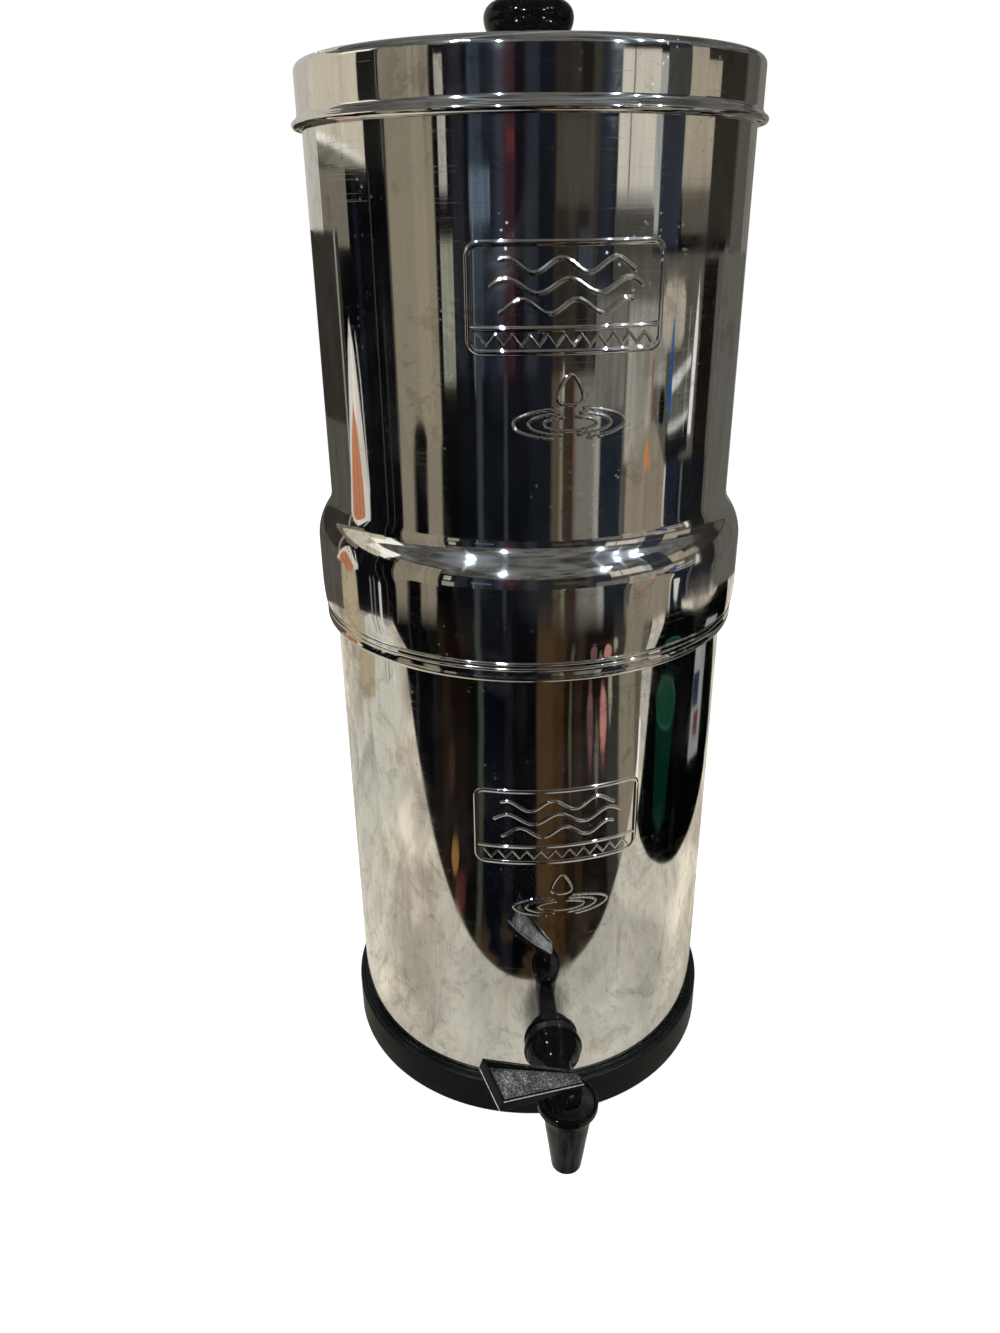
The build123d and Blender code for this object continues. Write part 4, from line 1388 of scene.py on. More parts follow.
@dataclass
class Lever:
    """Lever with thin walls round a sunk thumb panel, whose grained pad stands clear of the end wall."""

    body: str = "tap_lever"
    turn: float = 195.0                 # degrees about the barrel
    tilt: float = 20.25                 # degrees, the tip stands higher
    rim_above_pin: float = 9.8 * MM
    back: float = 8.1 * MM
    front: float = 46.8 * MM
    back_half: float = 5.1 * MM
    front_half: float = 15.8 * MM
    wall: float = 1.7 * MM
    end_wall: float = 1.5 * MM
    foot: float = 6.8 * MM              # from the rim down to the foot of the end wall
    panel_back: float = 0.9 * MM        # depth of the panel below the rim
    panel_front: float = 4.9 * MM
    pad_up: float = 0.55 * MM
    pad_gap: float = 0.35 * MM
    pad_end_gap: float = 1.3 * MM
    pad_root: float = 0.2 * MM          # how far the pad reaches into the panel
    pad_edge: float = 0.3 * MM
    edge: float = 0.22 * MM
    rim_edge_depth: float = 0.8 * MM    # where the rim's rounding with its painted highlight ends
    steepest: float = 0.97              # a normal's share beyond which a face is flat and not part of a rounding

    def _placed(self) -> Matrix:
        """Place of the lever's own frame: X along its slope, origin in the rim over the barrel."""
        bonnet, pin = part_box("tap_bonnet"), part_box("tap_lever_pin")
        origin = Vector(((bonnet[0].x + bonnet[1].x) / 2, (bonnet[0].y + bonnet[1].y) / 2,
                         (pin[0].z + pin[1].z) / 2 + self.rim_above_pin))
        turn = Matrix.Rotation(math.radians(self.turn), 4, "Z")
        return Matrix.Translation(origin) @ turn @ Matrix.Rotation(-math.radians(self.tilt), 4, "Y")

    def _between(self, along: float, back: float, front: float) -> float:
        """A measure at a place along the lever, from its values at the lever's back and front."""
        share = (along + self.back) / (self.front + self.back)
        return back + share * (front - back)

    def build(self, finishes: Finishes) -> None:
        """Makes the lever and its pad."""
        lever = smoothed_copy("tap_lever", "tap_lever_moulding", self.edge)
        place = self._placed()
        finishes.made["lever_black"] = LeverPlastic("lever_black", place, self.front, self.foot).make()
        finishes.put(lever, "lever_black")
        to_own = place.inverted()
        # the rim roundings get the pale painted highlight finish
        count = finishes.put_on_some(lever, "painted_highlight_edge",
                                     lambda centre, normal: self._on_rim_edge(to_own, centre, normal))
        log.info("the lever has %d faces on its rubbed edges", count)
        report(lever, self.body, "black_gloss")
        self._build_pad(finishes)

    def _on_rim_edge(self, to_own: Matrix, centre: Vector, normal: Vector) -> bool:
        """Whether a face belongs to the rounding along the rim, or along the foot of the end wall, which get the
        painted highlight.
        """
        place, facing = to_own @ centre, to_own.to_3x3() @ normal
        on_rim = place.z > -self.rim_edge_depth and 0.25 < facing.z < self.steepest and abs(facing.x) < 0.32
        return on_rim or (place.x > self.front - MM and 0.15 < facing.x < self.steepest and facing.z < -0.15)

    def _build_pad(self, finishes: Finishes) -> None:
        """Lays the grained pad on the panel, with rounded edges."""
        start, end = -self.back + self.pad_gap, self.front - self.end_wall - self.pad_end_gap
        corners = []
        for along, side in ((start, -1), (end, -1), (end, 1), (start, 1)):
            half = self._between(along, self.back_half, self.front_half) - self.wall - self.pad_gap
            depth = self._between(along, self.panel_back, self.panel_front)
            corners.append((along, side * half, self.pad_up - depth))
        pad = spanned("tap_lever_pad", tuple(corners))
        edit_all(pad)
        down = {"value": (0, 0, -self.pad_up - self.pad_root)}
        bpy.ops.mesh.extrude_region_move(TRANSFORM_OT_translate=down)
        bpy.ops.mesh.select_all(action="SELECT")
        bpy.ops.mesh.normals_make_consistent(inside=False)
        bpy.ops.object.mode_set(mode="OBJECT")
        apply_modifier(pad, "BEVEL", width=self.pad_edge, segments=3, limit_method="ANGLE",
                       angle_limit=math.radians(40))
        pad.matrix_world = self._placed()
        make_active(pad)
        bpy.ops.object.transform_apply(location=True, rotation=True, scale=True)
        smooth(pad)
        finishes.put(pad, "thumb_panel")
        report(pad, self.body, "black_matte")


# ---------------------------------------------------------------- pieces that keep their solids
@dataclass
class InnerPieces:
    """Nodes whose own mesh is shown, with a finish for each."""

    def dress(self, finishes: Finishes) -> None:
        """Gives every node that is still shown the finish of its slot."""
        for part in frame["record"]["subparts"]:
            node = frame["nodes"][part["node"]]
            if node.hide_render:
                continue
            finishes.put(node, part["material_slot"])
            log.info("%s keeps its solid, with %s", node.name, part["material_slot"])


# ---------------------------------------------------------------- studio
HAZE = (12 / 255) ** 2.2        # what the soiled steel adds to every reflection


def mirrored(red: int, green: int, blue: int) -> Colour:
    """Glow that polished steel shows as a colour.

    Args:
        red: Display step of the colour, from 0 to 255.
        green: The same for green.
        blue: The same for blue.

    Returns:
        The glow.
    """
    shares = zip((red, green, blue), (0.78, 0.765, 0.745))
    return tuple(max(0.0002, ((step / 255) ** 2.2 - HAZE) / share) for step, share in shares)


Tone = tuple[int, int, int]     # display steps of the colour that polished steel shows


@dataclass(frozen=True)
class Board:
    """Upright flat card between two places on the floor plan."""

    name: str
    start: tuple[float, float]
    end: tuple[float, float]
    low: float
    high: float
    tone: Tone
    streaks: float = 0.35


@dataclass(frozen=True)
class Cutout:
    """Upright card of any outline, given in bearings and heights, for cloths and things with round tops."""

    name: str
    reach: float
    tone: Tone
    streaks: float
    outline: tuple[tuple[float, float], ...]


@dataclass(frozen=True)
class Toy:
    """Small soft spot on the floor beyond the counter, by bearing and reach and half its size in both."""

    bearing: float
    reach: float
    half_bearing: float
    half_reach: float
    tone: Tone


@dataclass(frozen=True)
class Panel:
    """Upright curved card round the vessel. Bearings are degrees from the viewer's side, positive to the right."""

    name: str
    start: float
    end: float
    low: float
    high: float
    reach: float
    tone: Tone
    streaks: float = 0.35


@dataclass(frozen=True)
class Bulb:
    """Small ceiling lamp, by its bearing and its distance from the vessel's axis."""

    name: str
    bearing: float
    reach: float
    size: float
    strength: float


@dataclass(frozen=True)
class Crock:
    """Round thing on the counter, by its place, its rim and its foot."""

    name: str
    bearing: float
    reach: float
    rim: float
    foot: float
    low: float
    high: float
    tone: Tone


CEILING_Z = 1.15
CABINET_Z = 0.600
BLACK: Tone = (17, 17, 18)

PANELS = (
    # things before the far wall, in front of the tap
    Panel("shelf_sky_left", -28, -18, 0.46, 0.60, 2.8, (80, 92, 102), 1.2),
    Panel("red_top", -10, -6.5, 0.64, 0.70, 2.8, (92, 44, 48), 0.9),
    Panel("far_shelf", 13, 31, 0.50, 0.74, 2.84, (66, 62, 54), 1.1),
    Panel("picture", 24, 31, 0.30, 0.44, 2.8, (54, 60, 66), 0.8),
    Panel("second_pillar", -43, -36.5, 0.04, 0.42, 2.6, (130, 129, 115), 0.8),
    Panel("pillar_top", -42.5, -38.5, 0.54, 0.90, 2.6, (148, 144, 134), 1.1),
    Panel("thin_edge", -26.8, -26.3, 0.0, 0.6, 2.7, (104, 108, 110), 0.6),
    Panel("lit_chair", 17.3, 18.3, 0, 0.10, 2.5, (152, 144, 124)),
    # tall door on the left with the open arch in it
    Panel("door_gap_left", -76, -70.5, 0, CEILING_Z, 2.1, (30, 30, 29)),
    Panel("door_line", -72.6, -72.2, 0, CEILING_Z, 2.05, (110, 106, 94)),
    Panel("tall_door", -70.6, -45, 0, CEILING_Z, 2.0, (125, 117, 100), 0.22),
    Panel("tall_door_top", -71, -45, 0.68, CEILING_Z, 1.98, (119, 113, 99), 0.25),
    Panel("tall_door_light", -56, -49, 0.05, CEILING_Z, 1.98, (132, 124, 106), 0.25),
    Panel("door_edge", -45, -44.2, 0, CEILING_Z, 1.99, (52, 48, 42)),
    # black larder at the counter's left end, with things before it
    Panel("larder", -110, -68.5, 0, 0.553, 0.88, BLACK, 0.5),
    Panel("larder_sliver", -92, -88.5, 0.28, 0.553, 0.87, (23, 26, 32), 0.6),
    Panel("larder_line", -79.6, -79.2, 0, 0.553, 0.86, (70, 69, 64)),
    Panel("larder_edge", -74.6, -74.2, 0, 0.40, 0.86, (58, 57, 54)),
    Panel("larder_rim", -68.9, -68.3, 0, 0.553, 0.86, (74, 72, 66)),
    Panel("wire_left", -84.4, -83.7, 0.03, 0.16, 0.62, (120, 120, 116), 0.8),
    Panel("wire_middle", -81.6, -80.9, 0.03, 0.165, 0.62, (96, 98, 98), 0.8),
    Panel("wire_right", -78.2, -76.6, 0.02, 0.155, 0.62, (196, 195, 188), 0.8),
    Panel("splashback_left", -166, -106, 0.27, 0.488, 0.80, (50, 47, 42), 0.7),
    Panel("splashback_left_low", -166, -110, 0.0, 0.27, 0.80, (76, 73, 67), 0.8),
    Panel("splashback_edge", -110.5, -109, 0.0, 0.488, 0.79, (136, 133, 124), 0.5),
    Panel("wall_left_shade", -125, -96, 0.47, 0.553, 0.84, (104, 99, 87), 0.4),
    Panel("wall_left", -168, -122, 0.488, CEILING_Z, 0.80, (174, 169, 159), 0.25),
    # window, hood, cupboards and dish rack on the right
    Panel("window", 41, 59.5, 0.528, 0.74, 1.25, (184, 178, 164), 0.4),
    Panel("window_bar", 46.4, 47.0, 0.528, 0.74, 1.24, (70, 70, 66)),
    Panel("window_foot", 41, 59.5, 0.508, 0.528, 1.24, (130, 128, 120), 0.6),
    Panel("under_window", 40.5, 61, 0.385, 0.508, 1.27, (64, 62, 57), 1.0),
    Panel("under_window_pale", 33, 61, 0.21, 0.385, 1.27, (98, 95, 88), 1.3),
    Panel("under_window_dark", 37, 54, 0, 0.21, 1.27, (32, 37, 44), 1.0),
    Panel("hood_edge", 59.5, 63.5, 0.47, 0.72, 1.28, (148, 148, 143), 0.5),
    Panel("hood", 63.5, 76.5, 0.45, CEILING_Z, 1.30, (44, 48, 55), 0.9),
    Panel("hood_top", 64, 75.5, 0.645, 0.76, 1.29, (62, 61, 58), 0.7),
    Panel("cupboard_right", 76.3, 96.5, 0.532, 0.80, 1.30, (147, 138, 121), 0.5),
    Panel("cupboard_right_end", 87, 97, 0.70, 0.85, 1.29, (46, 43, 38), 0.6),
    Panel("cupboard_right_foot", 77.5, 100, 0.468, 0.532, 1.30, (82, 77, 69), 0.4),
    Panel("cupboard_far_right", 96.3, 118, 0.46, 0.80, 1.25, (46, 43, 38), 0.6),
    Panel("wall_right_shade", 117, 134, 0.46, 0.80, 0.80, (78, 76, 70), 0.4),
    Panel("wall_right_light", 134, 150, 0.46, 0.80, 0.80, (108, 105, 97), 0.5),
    Panel("splashback_right", 112, 152, 0.0, 0.46, 0.96, (88, 86, 80), 0.6),
    Panel("rack_back", 48, 112, 0.0, 0.455, 0.97, (78, 75, 69), 1.3),
    Panel("rack_pale", 49, 72, 0.20, 0.40, 0.955, (138, 133, 123), 1.5),
    Panel("rack_shade", 64, 92, 0.20, 0.30, 0.95, (82, 81, 74), 1.4),
    Panel("rack_dark", 75.5, 108, 0.0, 0.20, 0.95, (24, 26, 28), 0.9),
    Panel("apron_edge", 74.5, 75.6, 0.0, 0.20, 0.92, (176, 172, 158), 0.8),
    Panel("blue_cloth", 76, 84, 0.0, 0.22, 0.93, (30, 34, 43), 1.1),
    Panel("blue_cloth_line", 86.5, 88, 0.01, 0.20, 0.92, (74, 82, 86), 0.9),
    Panel("rack_gap", 95, 107, 0.20, 0.45, 0.93, (28, 25, 23)),
    Panel("rack_wire_left", 62.5, 62.9, 0.25, 0.41, 0.88, (140, 136, 126)),
    Panel("rack_wire_right", 86, 86.5, 0.25, 0.40, 0.88, (132, 128, 118)),
    Panel("carton_side", 104, 117, 0.0, 0.135, 0.45, (128, 130, 127), 1.1),
    Panel("carton_print", 104, 111, 0.066, 0.104, 0.44, (36, 44, 54), 0.7),
    Panel("carton_foot", 107, 113, 0.030, 0.060, 0.44, (84, 52, 48), 0.9),
    Panel("bright_wire", 61, 61.8, 0.0, 0.075, 0.46, (232, 230, 222), 1.4),
    # behind the vessel
    Panel("back_left", -180, -166, 0, CEILING_Z, 0.72, (146, 142, 132), 0.5),
    Panel("back_right", 150, 180, 0, CEILING_Z, 0.72, (118, 114, 105), 0.6),
    Panel("back_cupboard", 157, 203, 0.50, CEILING_Z, 0.70, (116, 110, 96), 0.3),
    Panel("back_cupboard_foot", 157, 203, 0.485, 0.50, 0.699, (48, 45, 40), 0.3),
    Panel("back_cupboard_gap", 180.5, 181.1, 0.50, CEILING_Z, 0.698, (40, 38, 34), 0.3),
)

BOARDS = (
    Board("cabinet_face", (-0.80, 0.72), (-2.20, 0.07), CABINET_Z, CEILING_Z, (184, 176, 157), 0.45),
    Board("cabinet_lip", (-0.798, 0.715), (-2.198, 0.065), CABINET_Z - 0.006, CABINET_Z + 0.006, (222, 219, 210)),
)

CUTOUTS = (
    Cutout("arch", 1.95, BLACK, 0.5, (
        (-61.6, -0.02), (-61.6, 0.02), (-60.6, 0.044), (-59.2, 0.058), (-57.6, 0.063), (-56.0, 0.058),
        (-54.7, 0.044), (-53.8, 0.02), (-53.8, -0.02))),
    Cutout("white_cloth", 0.600, (196, 191, 180), 1.1, (
        (-112, 0.20), (-108, 0.26), (-104.5, 0.33), (-101.5, 0.39), (-99, 0.415), (-96.5, 0.39), (-94.5, 0.35),
        (-92.5, 0.30), (-90.5, 0.25), (-91.5, 0.20), (-95, 0.17), (-100, 0.175), (-106, 0.165))),
    Cutout("orange_cloth", 0.594, (172, 114, 84), 1.1, (
        (-109.5, 0.19), (-107, 0.25), (-104, 0.30), (-100.5, 0.335), (-98, 0.31), (-96, 0.26), (-95, 0.20),
        (-98, 0.165), (-104, 0.16))),
    Cutout("cream_cloth", 0.61, (160, 147, 120), 0.5, (
        (-112, 0.0), (-111.5, 0.09), (-109.5, 0.168), (-102, 0.176), (-95.5, 0.168), (-94.2, 0.08), (-94.8, 0.0))),
    Cutout("loop", 0.585, (214, 212, 206), 0.4, (
        (-90.6, 0.30), (-91.6, 0.36), (-93.4, 0.400), (-94.4, 0.405), (-93.8, 0.398), (-92.1, 0.36), (-91.1, 0.30),
        (-90.4, 0.25), (-89.9, 0.25))),
    Cutout("white_board", 1.30, (240, 235, 222), 0.1, ((-97.5, 0.83), (-94, 1.03), (-73, 1.04), (-74.5, 0.83))),
    Cutout("ladle", 0.90, (158, 149, 134), 0.8, (
        (68.5, 0.365), (68, 0.41), (70, 0.428), (75, 0.434), (80, 0.428), (82.5, 0.41), (82.5, 0.365), (80, 0.352),
        (71, 0.352))),
    Cutout("blue_handle", 0.87, (44, 82, 124), 0.5, (
        (73.6, 0.29), (74.2, 0.36), (75.3, 0.40), (76.1, 0.36), (76.2, 0.29), (75.4, 0.262))),
    Cutout("white_handle", 0.86, (208, 204, 196), 0.5, (
        (89.5, 0.25), (90.0, 0.36), (91.4, 0.437), (92.8, 0.37), (92.2, 0.25))),
    Cutout("plate_rim", 0.88, (190, 190, 184), 0.4, (
        (76, 0.318), (82, 0.330), (89, 0.345), (89, 0.332), (82, 0.312), (76, 0.300))),
    Cutout("plate_foot", 0.88, (176, 176, 168), 0.4, (
        (75, 0.262), (82, 0.268), (89, 0.278), (89, 0.268), (82, 0.254), (75, 0.250))),
    Cutout("plate_gap", 0.885, (24, 24, 28), 0.4, ((74, 0.250), (89, 0.266), (90, 0.225), (74, 0.215))),
    Cutout("red_handle", 0.88, (138, 80, 78), 0.5, ((63.2, 0.28), (63.6, 0.345), (64.5, 0.345), (64.3, 0.28))),
    Cutout("orange_cap", 0.90, (184, 116, 72), 0.4, ((60.8, 0.205), (62.6, 0.246), (64.8, 0.205))),
    Cutout("black_oval", 0.885, BLACK, 0.3, (
        (69.0, 0.262), (68.4, 0.285), (69.4, 0.306), (71.2, 0.306), (72.2, 0.285), (71.6, 0.262))),
    Cutout("apron", 0.92, (124, 115, 100), 0.8, (
        (51, 0.0), (51, 0.20), (53, 0.235), (57, 0.205), (61, 0.25), (66, 0.262), (70, 0.236), (74.5, 0.20),
        (74.8, 0.0))),
    Cutout("apron_fold", 0.915, (96, 88, 76), 0.9, (
        (58, 0.02), (60, 0.17), (63.5, 0.232), (66.5, 0.17), (64.5, 0.10), (66, 0.02))),
)

BULBS = (
    Bulb("bulb_left", -34, 0.92, 0.017, 3400.0),
    Bulb("bulb_middle_left", -13, 1.75, 0.017, 6500.0),
    Bulb("bulb_middle_right", 40, 1.75, 0.016, 5800.0),
    Bulb("bulb_small", 52, 1.05, 0.008, 3000.0),
    Bulb("bulb_right", 64, 1.00, 0.013, 3400.0),
    Bulb("bulb_back", 170, 0.9, 0.03, 200.0),
    Bulb("bulb_side", -150, 1.2, 0.03, 200.0),
)

CROCKS = (
    Crock("cup", 79, 0.86, 0.030, 0.020, 0.045, 0.075, (190, 188, 180)),
    Crock("green_jar", 77.6, 0.40, 0.047, 0.034, 0.001, 0.110, (16, 36, 28)),
    Crock("green_jar_lid", 77.6, 0.40, 0.0495, 0.048, 0.110, 0.1125, (16, 52, 38)),
)

# What shows above the counter's height at the far side of the room, by bearing.
FAR_WALL = (
    (-180, (70, 67, 60)), (-113, (28, 27, 26)), (-76, BLACK), (-44, (22, 22, 23)), (-36, (38, 39, 42)),
    (-30, (22, 24, 28)), (-27, (50, 57, 65)), (-21, (31, 35, 41)), (-15, (46, 49, 57)), (-11, (52, 34, 39)),
    (-6, (26, 24, 28)), (-1, (42, 45, 50)), (5, (27, 29, 35)), (12.5, (44, 41, 37)), (19, (50, 47, 41)),
    (24, (34, 32, 29)), (29, (54, 51, 46)), (33.5, (35, 38, 45)), (41, (24, 26, 29)), (75, BLACK),
    (118, (62, 59, 52)),
)
# What shows beyond the counter's front edge, by bearing: farther away, then nearer.
FAR_FLOOR = (
    (-180, (50, 48, 44)), (-92, BLACK), (-72.5, (104, 99, 87)), (-71.8, BLACK), (-70.5, (120, 113, 98)),
    (-61.8, BLACK), (-54, (121, 114, 99)), (-45, BLACK), (-36, (19, 21, 23)), (-26, (54, 56, 61)),
    (-23.5, (20, 23, 27)), (-12, (52, 53, 59)), (-10, (19, 21, 25)), (1, (25, 28, 32)), (12, (74, 67, 55)),
    (17, (140, 132, 114)), (18, (52, 46, 38)), (21.5, (62, 32, 34)), (24, (104, 101, 93)), (34, (138, 136, 128)),
    (37.5, (31, 35, 40)), (49, (118, 110, 97)), (74, (28, 31, 37)), (83, BLACK), (104, (70, 68, 62)),
)
NEAR_FLOOR = (
    (-180, BLACK), (-62.5, (38, 39, 36)), (-61.5, BLACK), (-51, (24, 24, 22)), (-45.5, (36, 30, 24)),
    (-42, (26, 21, 18)), (-32, (20, 19, 17)), (-25.6, (54, 60, 52)), (-23.4, (18, 19, 23)), (-12, (26, 27, 30)),
    (-8, (16, 16, 18)), (4.5, (64, 50, 34)), (13, (56, 42, 29)), (19.5, (32, 26, 21)), (25, (44, 36, 28)),
    (29.5, (27, 24, 21)), (43, (52, 49, 45)), (49.5, (118, 110, 95)), (60, (86, 82, 71)), (64.5, BLACK),
)
TOYS = (
    Toy(33.2, 0.62, 1.8, 0.10, (104, 74, 76)),
    Toy(40.6, 0.62, 2.2, 0.09, (170, 118, 108)),
    Toy(37.0, 0.54, 1.4, 0.09, (96, 92, 84)),
    Toy(44.5, 0.70, 1.2, 0.10, (132, 128, 116)),
    Toy(22.5, 0.60, 1.0, 0.16, (70, 68, 56)),
    Toy(-38.5, 0.365, 2.4, 0.030, (126, 92, 56)),
    Toy(-35.0, 0.315, 3.0, 0.036, (66, 32, 25)),
    Toy(-41.0, 0.52, 2.0, 0.06, (52, 38, 30)),
)
COUNTER_EDGE = ((-3.0, 0.045), (-0.80, -0.160), (-0.57, -0.176), (-0.32, -0.199), (-0.09, -0.219), (0.0, -0.228),
                (0.14, -0.239), (0.25, -0.257), (0.32, -0.272), (0.42, -0.302), (0.54, -0.367), (1.2, -0.72),
                (3.0, -3.0), (-3.0, -3.0))
SINK = ((0.325, -0.238), (0.305, -0.206), (0.293, -0.16), (0.293, -0.10), (0.297, -0.045), (0.308, 0.024),
        (0.314, 0.115), (0.318, 0.22), (0.364, 0.316), (0.453, 0.414), (0.9, 0.62), (0.9, -0.40), (0.42, -0.262))
CLOTH = ((-0.36, 0.03), (-0.42, -0.07), (-0.50, -0.03), (-0.60, -0.10), (-0.75, -0.09), (-0.95, 0.05), (-0.80, 0.16),
         (-0.62, 0.14), (-0.55, 0.19), (-0.46, 0.12))


@dataclass
class Room:
    """The kitchen that only the gloss of the pieces shows: counter, floor beyond it, walls, ceiling and lamps."""

    facing: float = -97.65          # direction of bearing zero, in degrees from +X
    card_lift: float = 0.4 * MM
    counter_reach: float = 2.6
    wall_reach: float = 3.0
    ceiling_reach: float = 3.2
    bulb_drop: float = 0.02         # lamps below the ceiling
    tap_reach: float = 0.20         # from the axis to the shade under the tap
    streaks_per_turn: float = 210.0     # upright streaks round the whole room, in a plain card
    looks: dict[tuple[Colour, float], bpy.types.Material] = field(default_factory=dict)

    def build(self) -> None:
        """Builds the whole room."""
        self._build_counter()
        self._build_far_wall()
        for panel in PANELS:
            self._build_panel(panel)
        for board in BOARDS:
            self._build_board(board)
        for cutout in CUTOUTS:
            corners = tuple((*self._spot(bearing, cutout.reach), height) for bearing, height in cutout.outline)
            self._card(spanned(cutout.name, corners), self._glow(mirrored(*cutout.tone), cutout.streaks))
        for crock in CROCKS:
            self._build_crock(crock)
        self._build_ceiling()
        self._build_cupboard_underside()

    def _card(self, obj: bpy.types.Object, material: bpy.types.Material) -> None:
        """Makes an object one that only shows in glossy surfaces."""
        obj.data.materials.clear()
        obj.data.materials.append(material)
        obj.visible_camera = obj.visible_diffuse = obj.visible_shadow = False
        obj.visible_transmission = obj.visible_volume_scatter = False

    def _spot(self, bearing: float, reach: float) -> tuple[float, float]:
        """Place on the floor at a bearing and a distance from the axis."""
        angle = math.radians(self.facing + bearing)
        return reach * math.cos(angle), reach * math.sin(angle)

    def _bearing(self, look: Look) -> Signal:
        """Bearing from the vessel's axis as a signal, from 0 to 1 round the room with 0.5 at bearing zero."""
        x, y = look.axis("X"), look.axis("Y")
        angle = math.radians(self.facing)
        along = x * math.cos(angle) + y * math.sin(angle)
        beside = y * math.cos(angle) - x * math.sin(angle)
        return beside.turned_from(along) / (2 * math.pi) + 0.5

    def _upright(self, look: Look, bearing: Signal, across: float, up: float, roughness: float) -> Signal:
        """Noise that runs upwards.

        Args:
            look: The material.
            bearing: From 0 to 1.
            across: Features per turn round the room.
            up: Features per metre of height.
            roughness: Strength of the small octaves.

        Returns:
            The noise.
        """
        spread = look.node("ShaderNodeCombineXYZ", None, {0: bearing * across, 1: look.axis("Z") * up, 2: 0.0})
        return look.noise(1.0, 5.0, spread.outputs[0], roughness)

    def _glow(self, tone: Colour, streaks: float) -> bpy.types.Material:
        """A glow with upright streaks and soft blotches.

        Args:
            tone: The glow's colour.
            streaks: Strength of the streaks.

        Returns:
            The material, which is shared by all cards of that tone.
        """
        key = (tone, streaks)
        if key not in self.looks:
            look = Look("room_tone")
            lines = self._upright(look, self._bearing(look), self.streaks_per_turn, 2.2, 0.62)
            blotches = look.noise(7.0, 4.0, roughness=0.6)
            strength = (1.0 - streaks) + lines * (1.1 * streaks) + blotches * (0.9 * streaks)
            self.looks[key] = look.glowing(tone, strength)
        return self.looks[key]

    def _build_panel(self, panel: Panel) -> None:
        """Stands up one curved card."""
        pen = Pen(panel.name, panel.reach, panel.low)
        pen.line(panel.reach, panel.high)
        card = pen.sweep(self.facing + panel.start, self.facing + panel.end)
        self._card(card, self._glow(mirrored(*panel.tone), panel.streaks))

    def _build_board(self, board: Board) -> None:
        """Stands up one flat card."""
        start, end, low, high = board.start, board.end, board.low, board.high
        card = spanned(board.name, ((*start, low), (*end, low), (*end, high), (*start, high)))
        self._card(card, self._glow(mirrored(*board.tone), board.streaks))

    def _build_far_wall(self) -> None:
        """Turns the far side of the room, whose tones run softly into each other."""
        look = Look("far_wall_card")
        bearing = self._bearing(look) + (look.noise(2.4, 3.0) - 0.5) * 0.006
        tones = self._ramp(look, bearing, FAR_WALL, 0.0022)
        strength = 0.30 + self._upright(look, bearing, 230.0, 1.6, 0.66) * 0.9 + look.noise(3.0, 4.0) * 0.5
        pen = Pen("far_wall", self.wall_reach, 0.0)
        pen.line(self.wall_reach, CEILING_Z)
        self._card(pen.turn(steps=96), look.glowing(tones, strength))

    def _build_crock(self, crock: Crock) -> None:
        """Turns one round thing with a lid or filling and a pale rim."""
        pen = Pen(crock.name, crock.foot, crock.low)
        pen.line(crock.rim, crock.high).line(0.0, crock.high)
        at, sides, tone = self._spot(crock.bearing, crock.reach), 24, mirrored(*crock.tone)
        self._card(pen.turn(at, sides), self._glow(tone, 0.5))
        pen = Pen(f"{crock.name}_rim", crock.rim, crock.high)
        pen.line(1.02 * crock.rim, crock.high + 0.05 * crock.rim)
        self._card(pen.turn(at, sides), self._glow(tuple(min(1.2, 1.7 * part + 0.05) for part in tone), 0.2))

    def _flat(self, name: str, corners: tuple[tuple[float, float], ...], height: float) -> bpy.types.Object:
        """Lays a flat card at a height, by its outline on the floor plan."""
        return spanned(name, tuple((*corner, height) for corner in corners))

    def _build_counter(self) -> None:
        """Lays the mottled counter, the dark floor beyond its front edge, the sink and the cloth."""
        look = Look("counter_card")
        clouds = look.noise(6.5, 5.0, roughness=0.58, distortion=0.9).step(0.30, 0.70)
        mist = look.noise(2.6, 3.0, roughness=0.5).step(0.42, 0.62)
        vein = (look.noise(11, 5.0, roughness=0.62, distortion=1.9) - 0.5).size().step(0.022, 0.0)
        hair = (look.noise(30, 4.0, roughness=0.6, distortion=1.4) - 0.5).size().step(0.03, 0.0)
        stone = look.mix(clouds, mirrored(158, 149, 134), mirrored(215, 205, 185))
        cool = look.mix(mist * 0.6, stone, mirrored(151, 152, 144))
        veined = look.mix(vein * 0.40 + hair * 0.16, cool, mirrored(98, 95, 86))
        under_foot, left = look.reach().step(0.146, 0.118), look.axis("X").step(-0.35, -0.75)
        under_tap = look.reach(0.0, -self.tap_reach).step(0.044, 0.018)
        shade = (1.0 - under_foot * 0.30) * (1.16 - left * 0.34) * (0.88 + clouds * 0.12) * (1.0 - under_tap * 0.72)
        self._card(disc("counter", 96, self.counter_reach, self.card_lift), look.glowing(veined, shade))
        self._card(self._flat("far_floor", COUNTER_EDGE, 2 * self.card_lift), self._floor_look())
        self._card(self._flat("sink", SINK, 3 * self.card_lift), self._glow(mirrored(10, 14, 13), 0.5))
        self._card(self._flat("wiping_cloth", CLOTH, 3 * self.card_lift), self._glow(mirrored(186, 182, 168), 0.4))

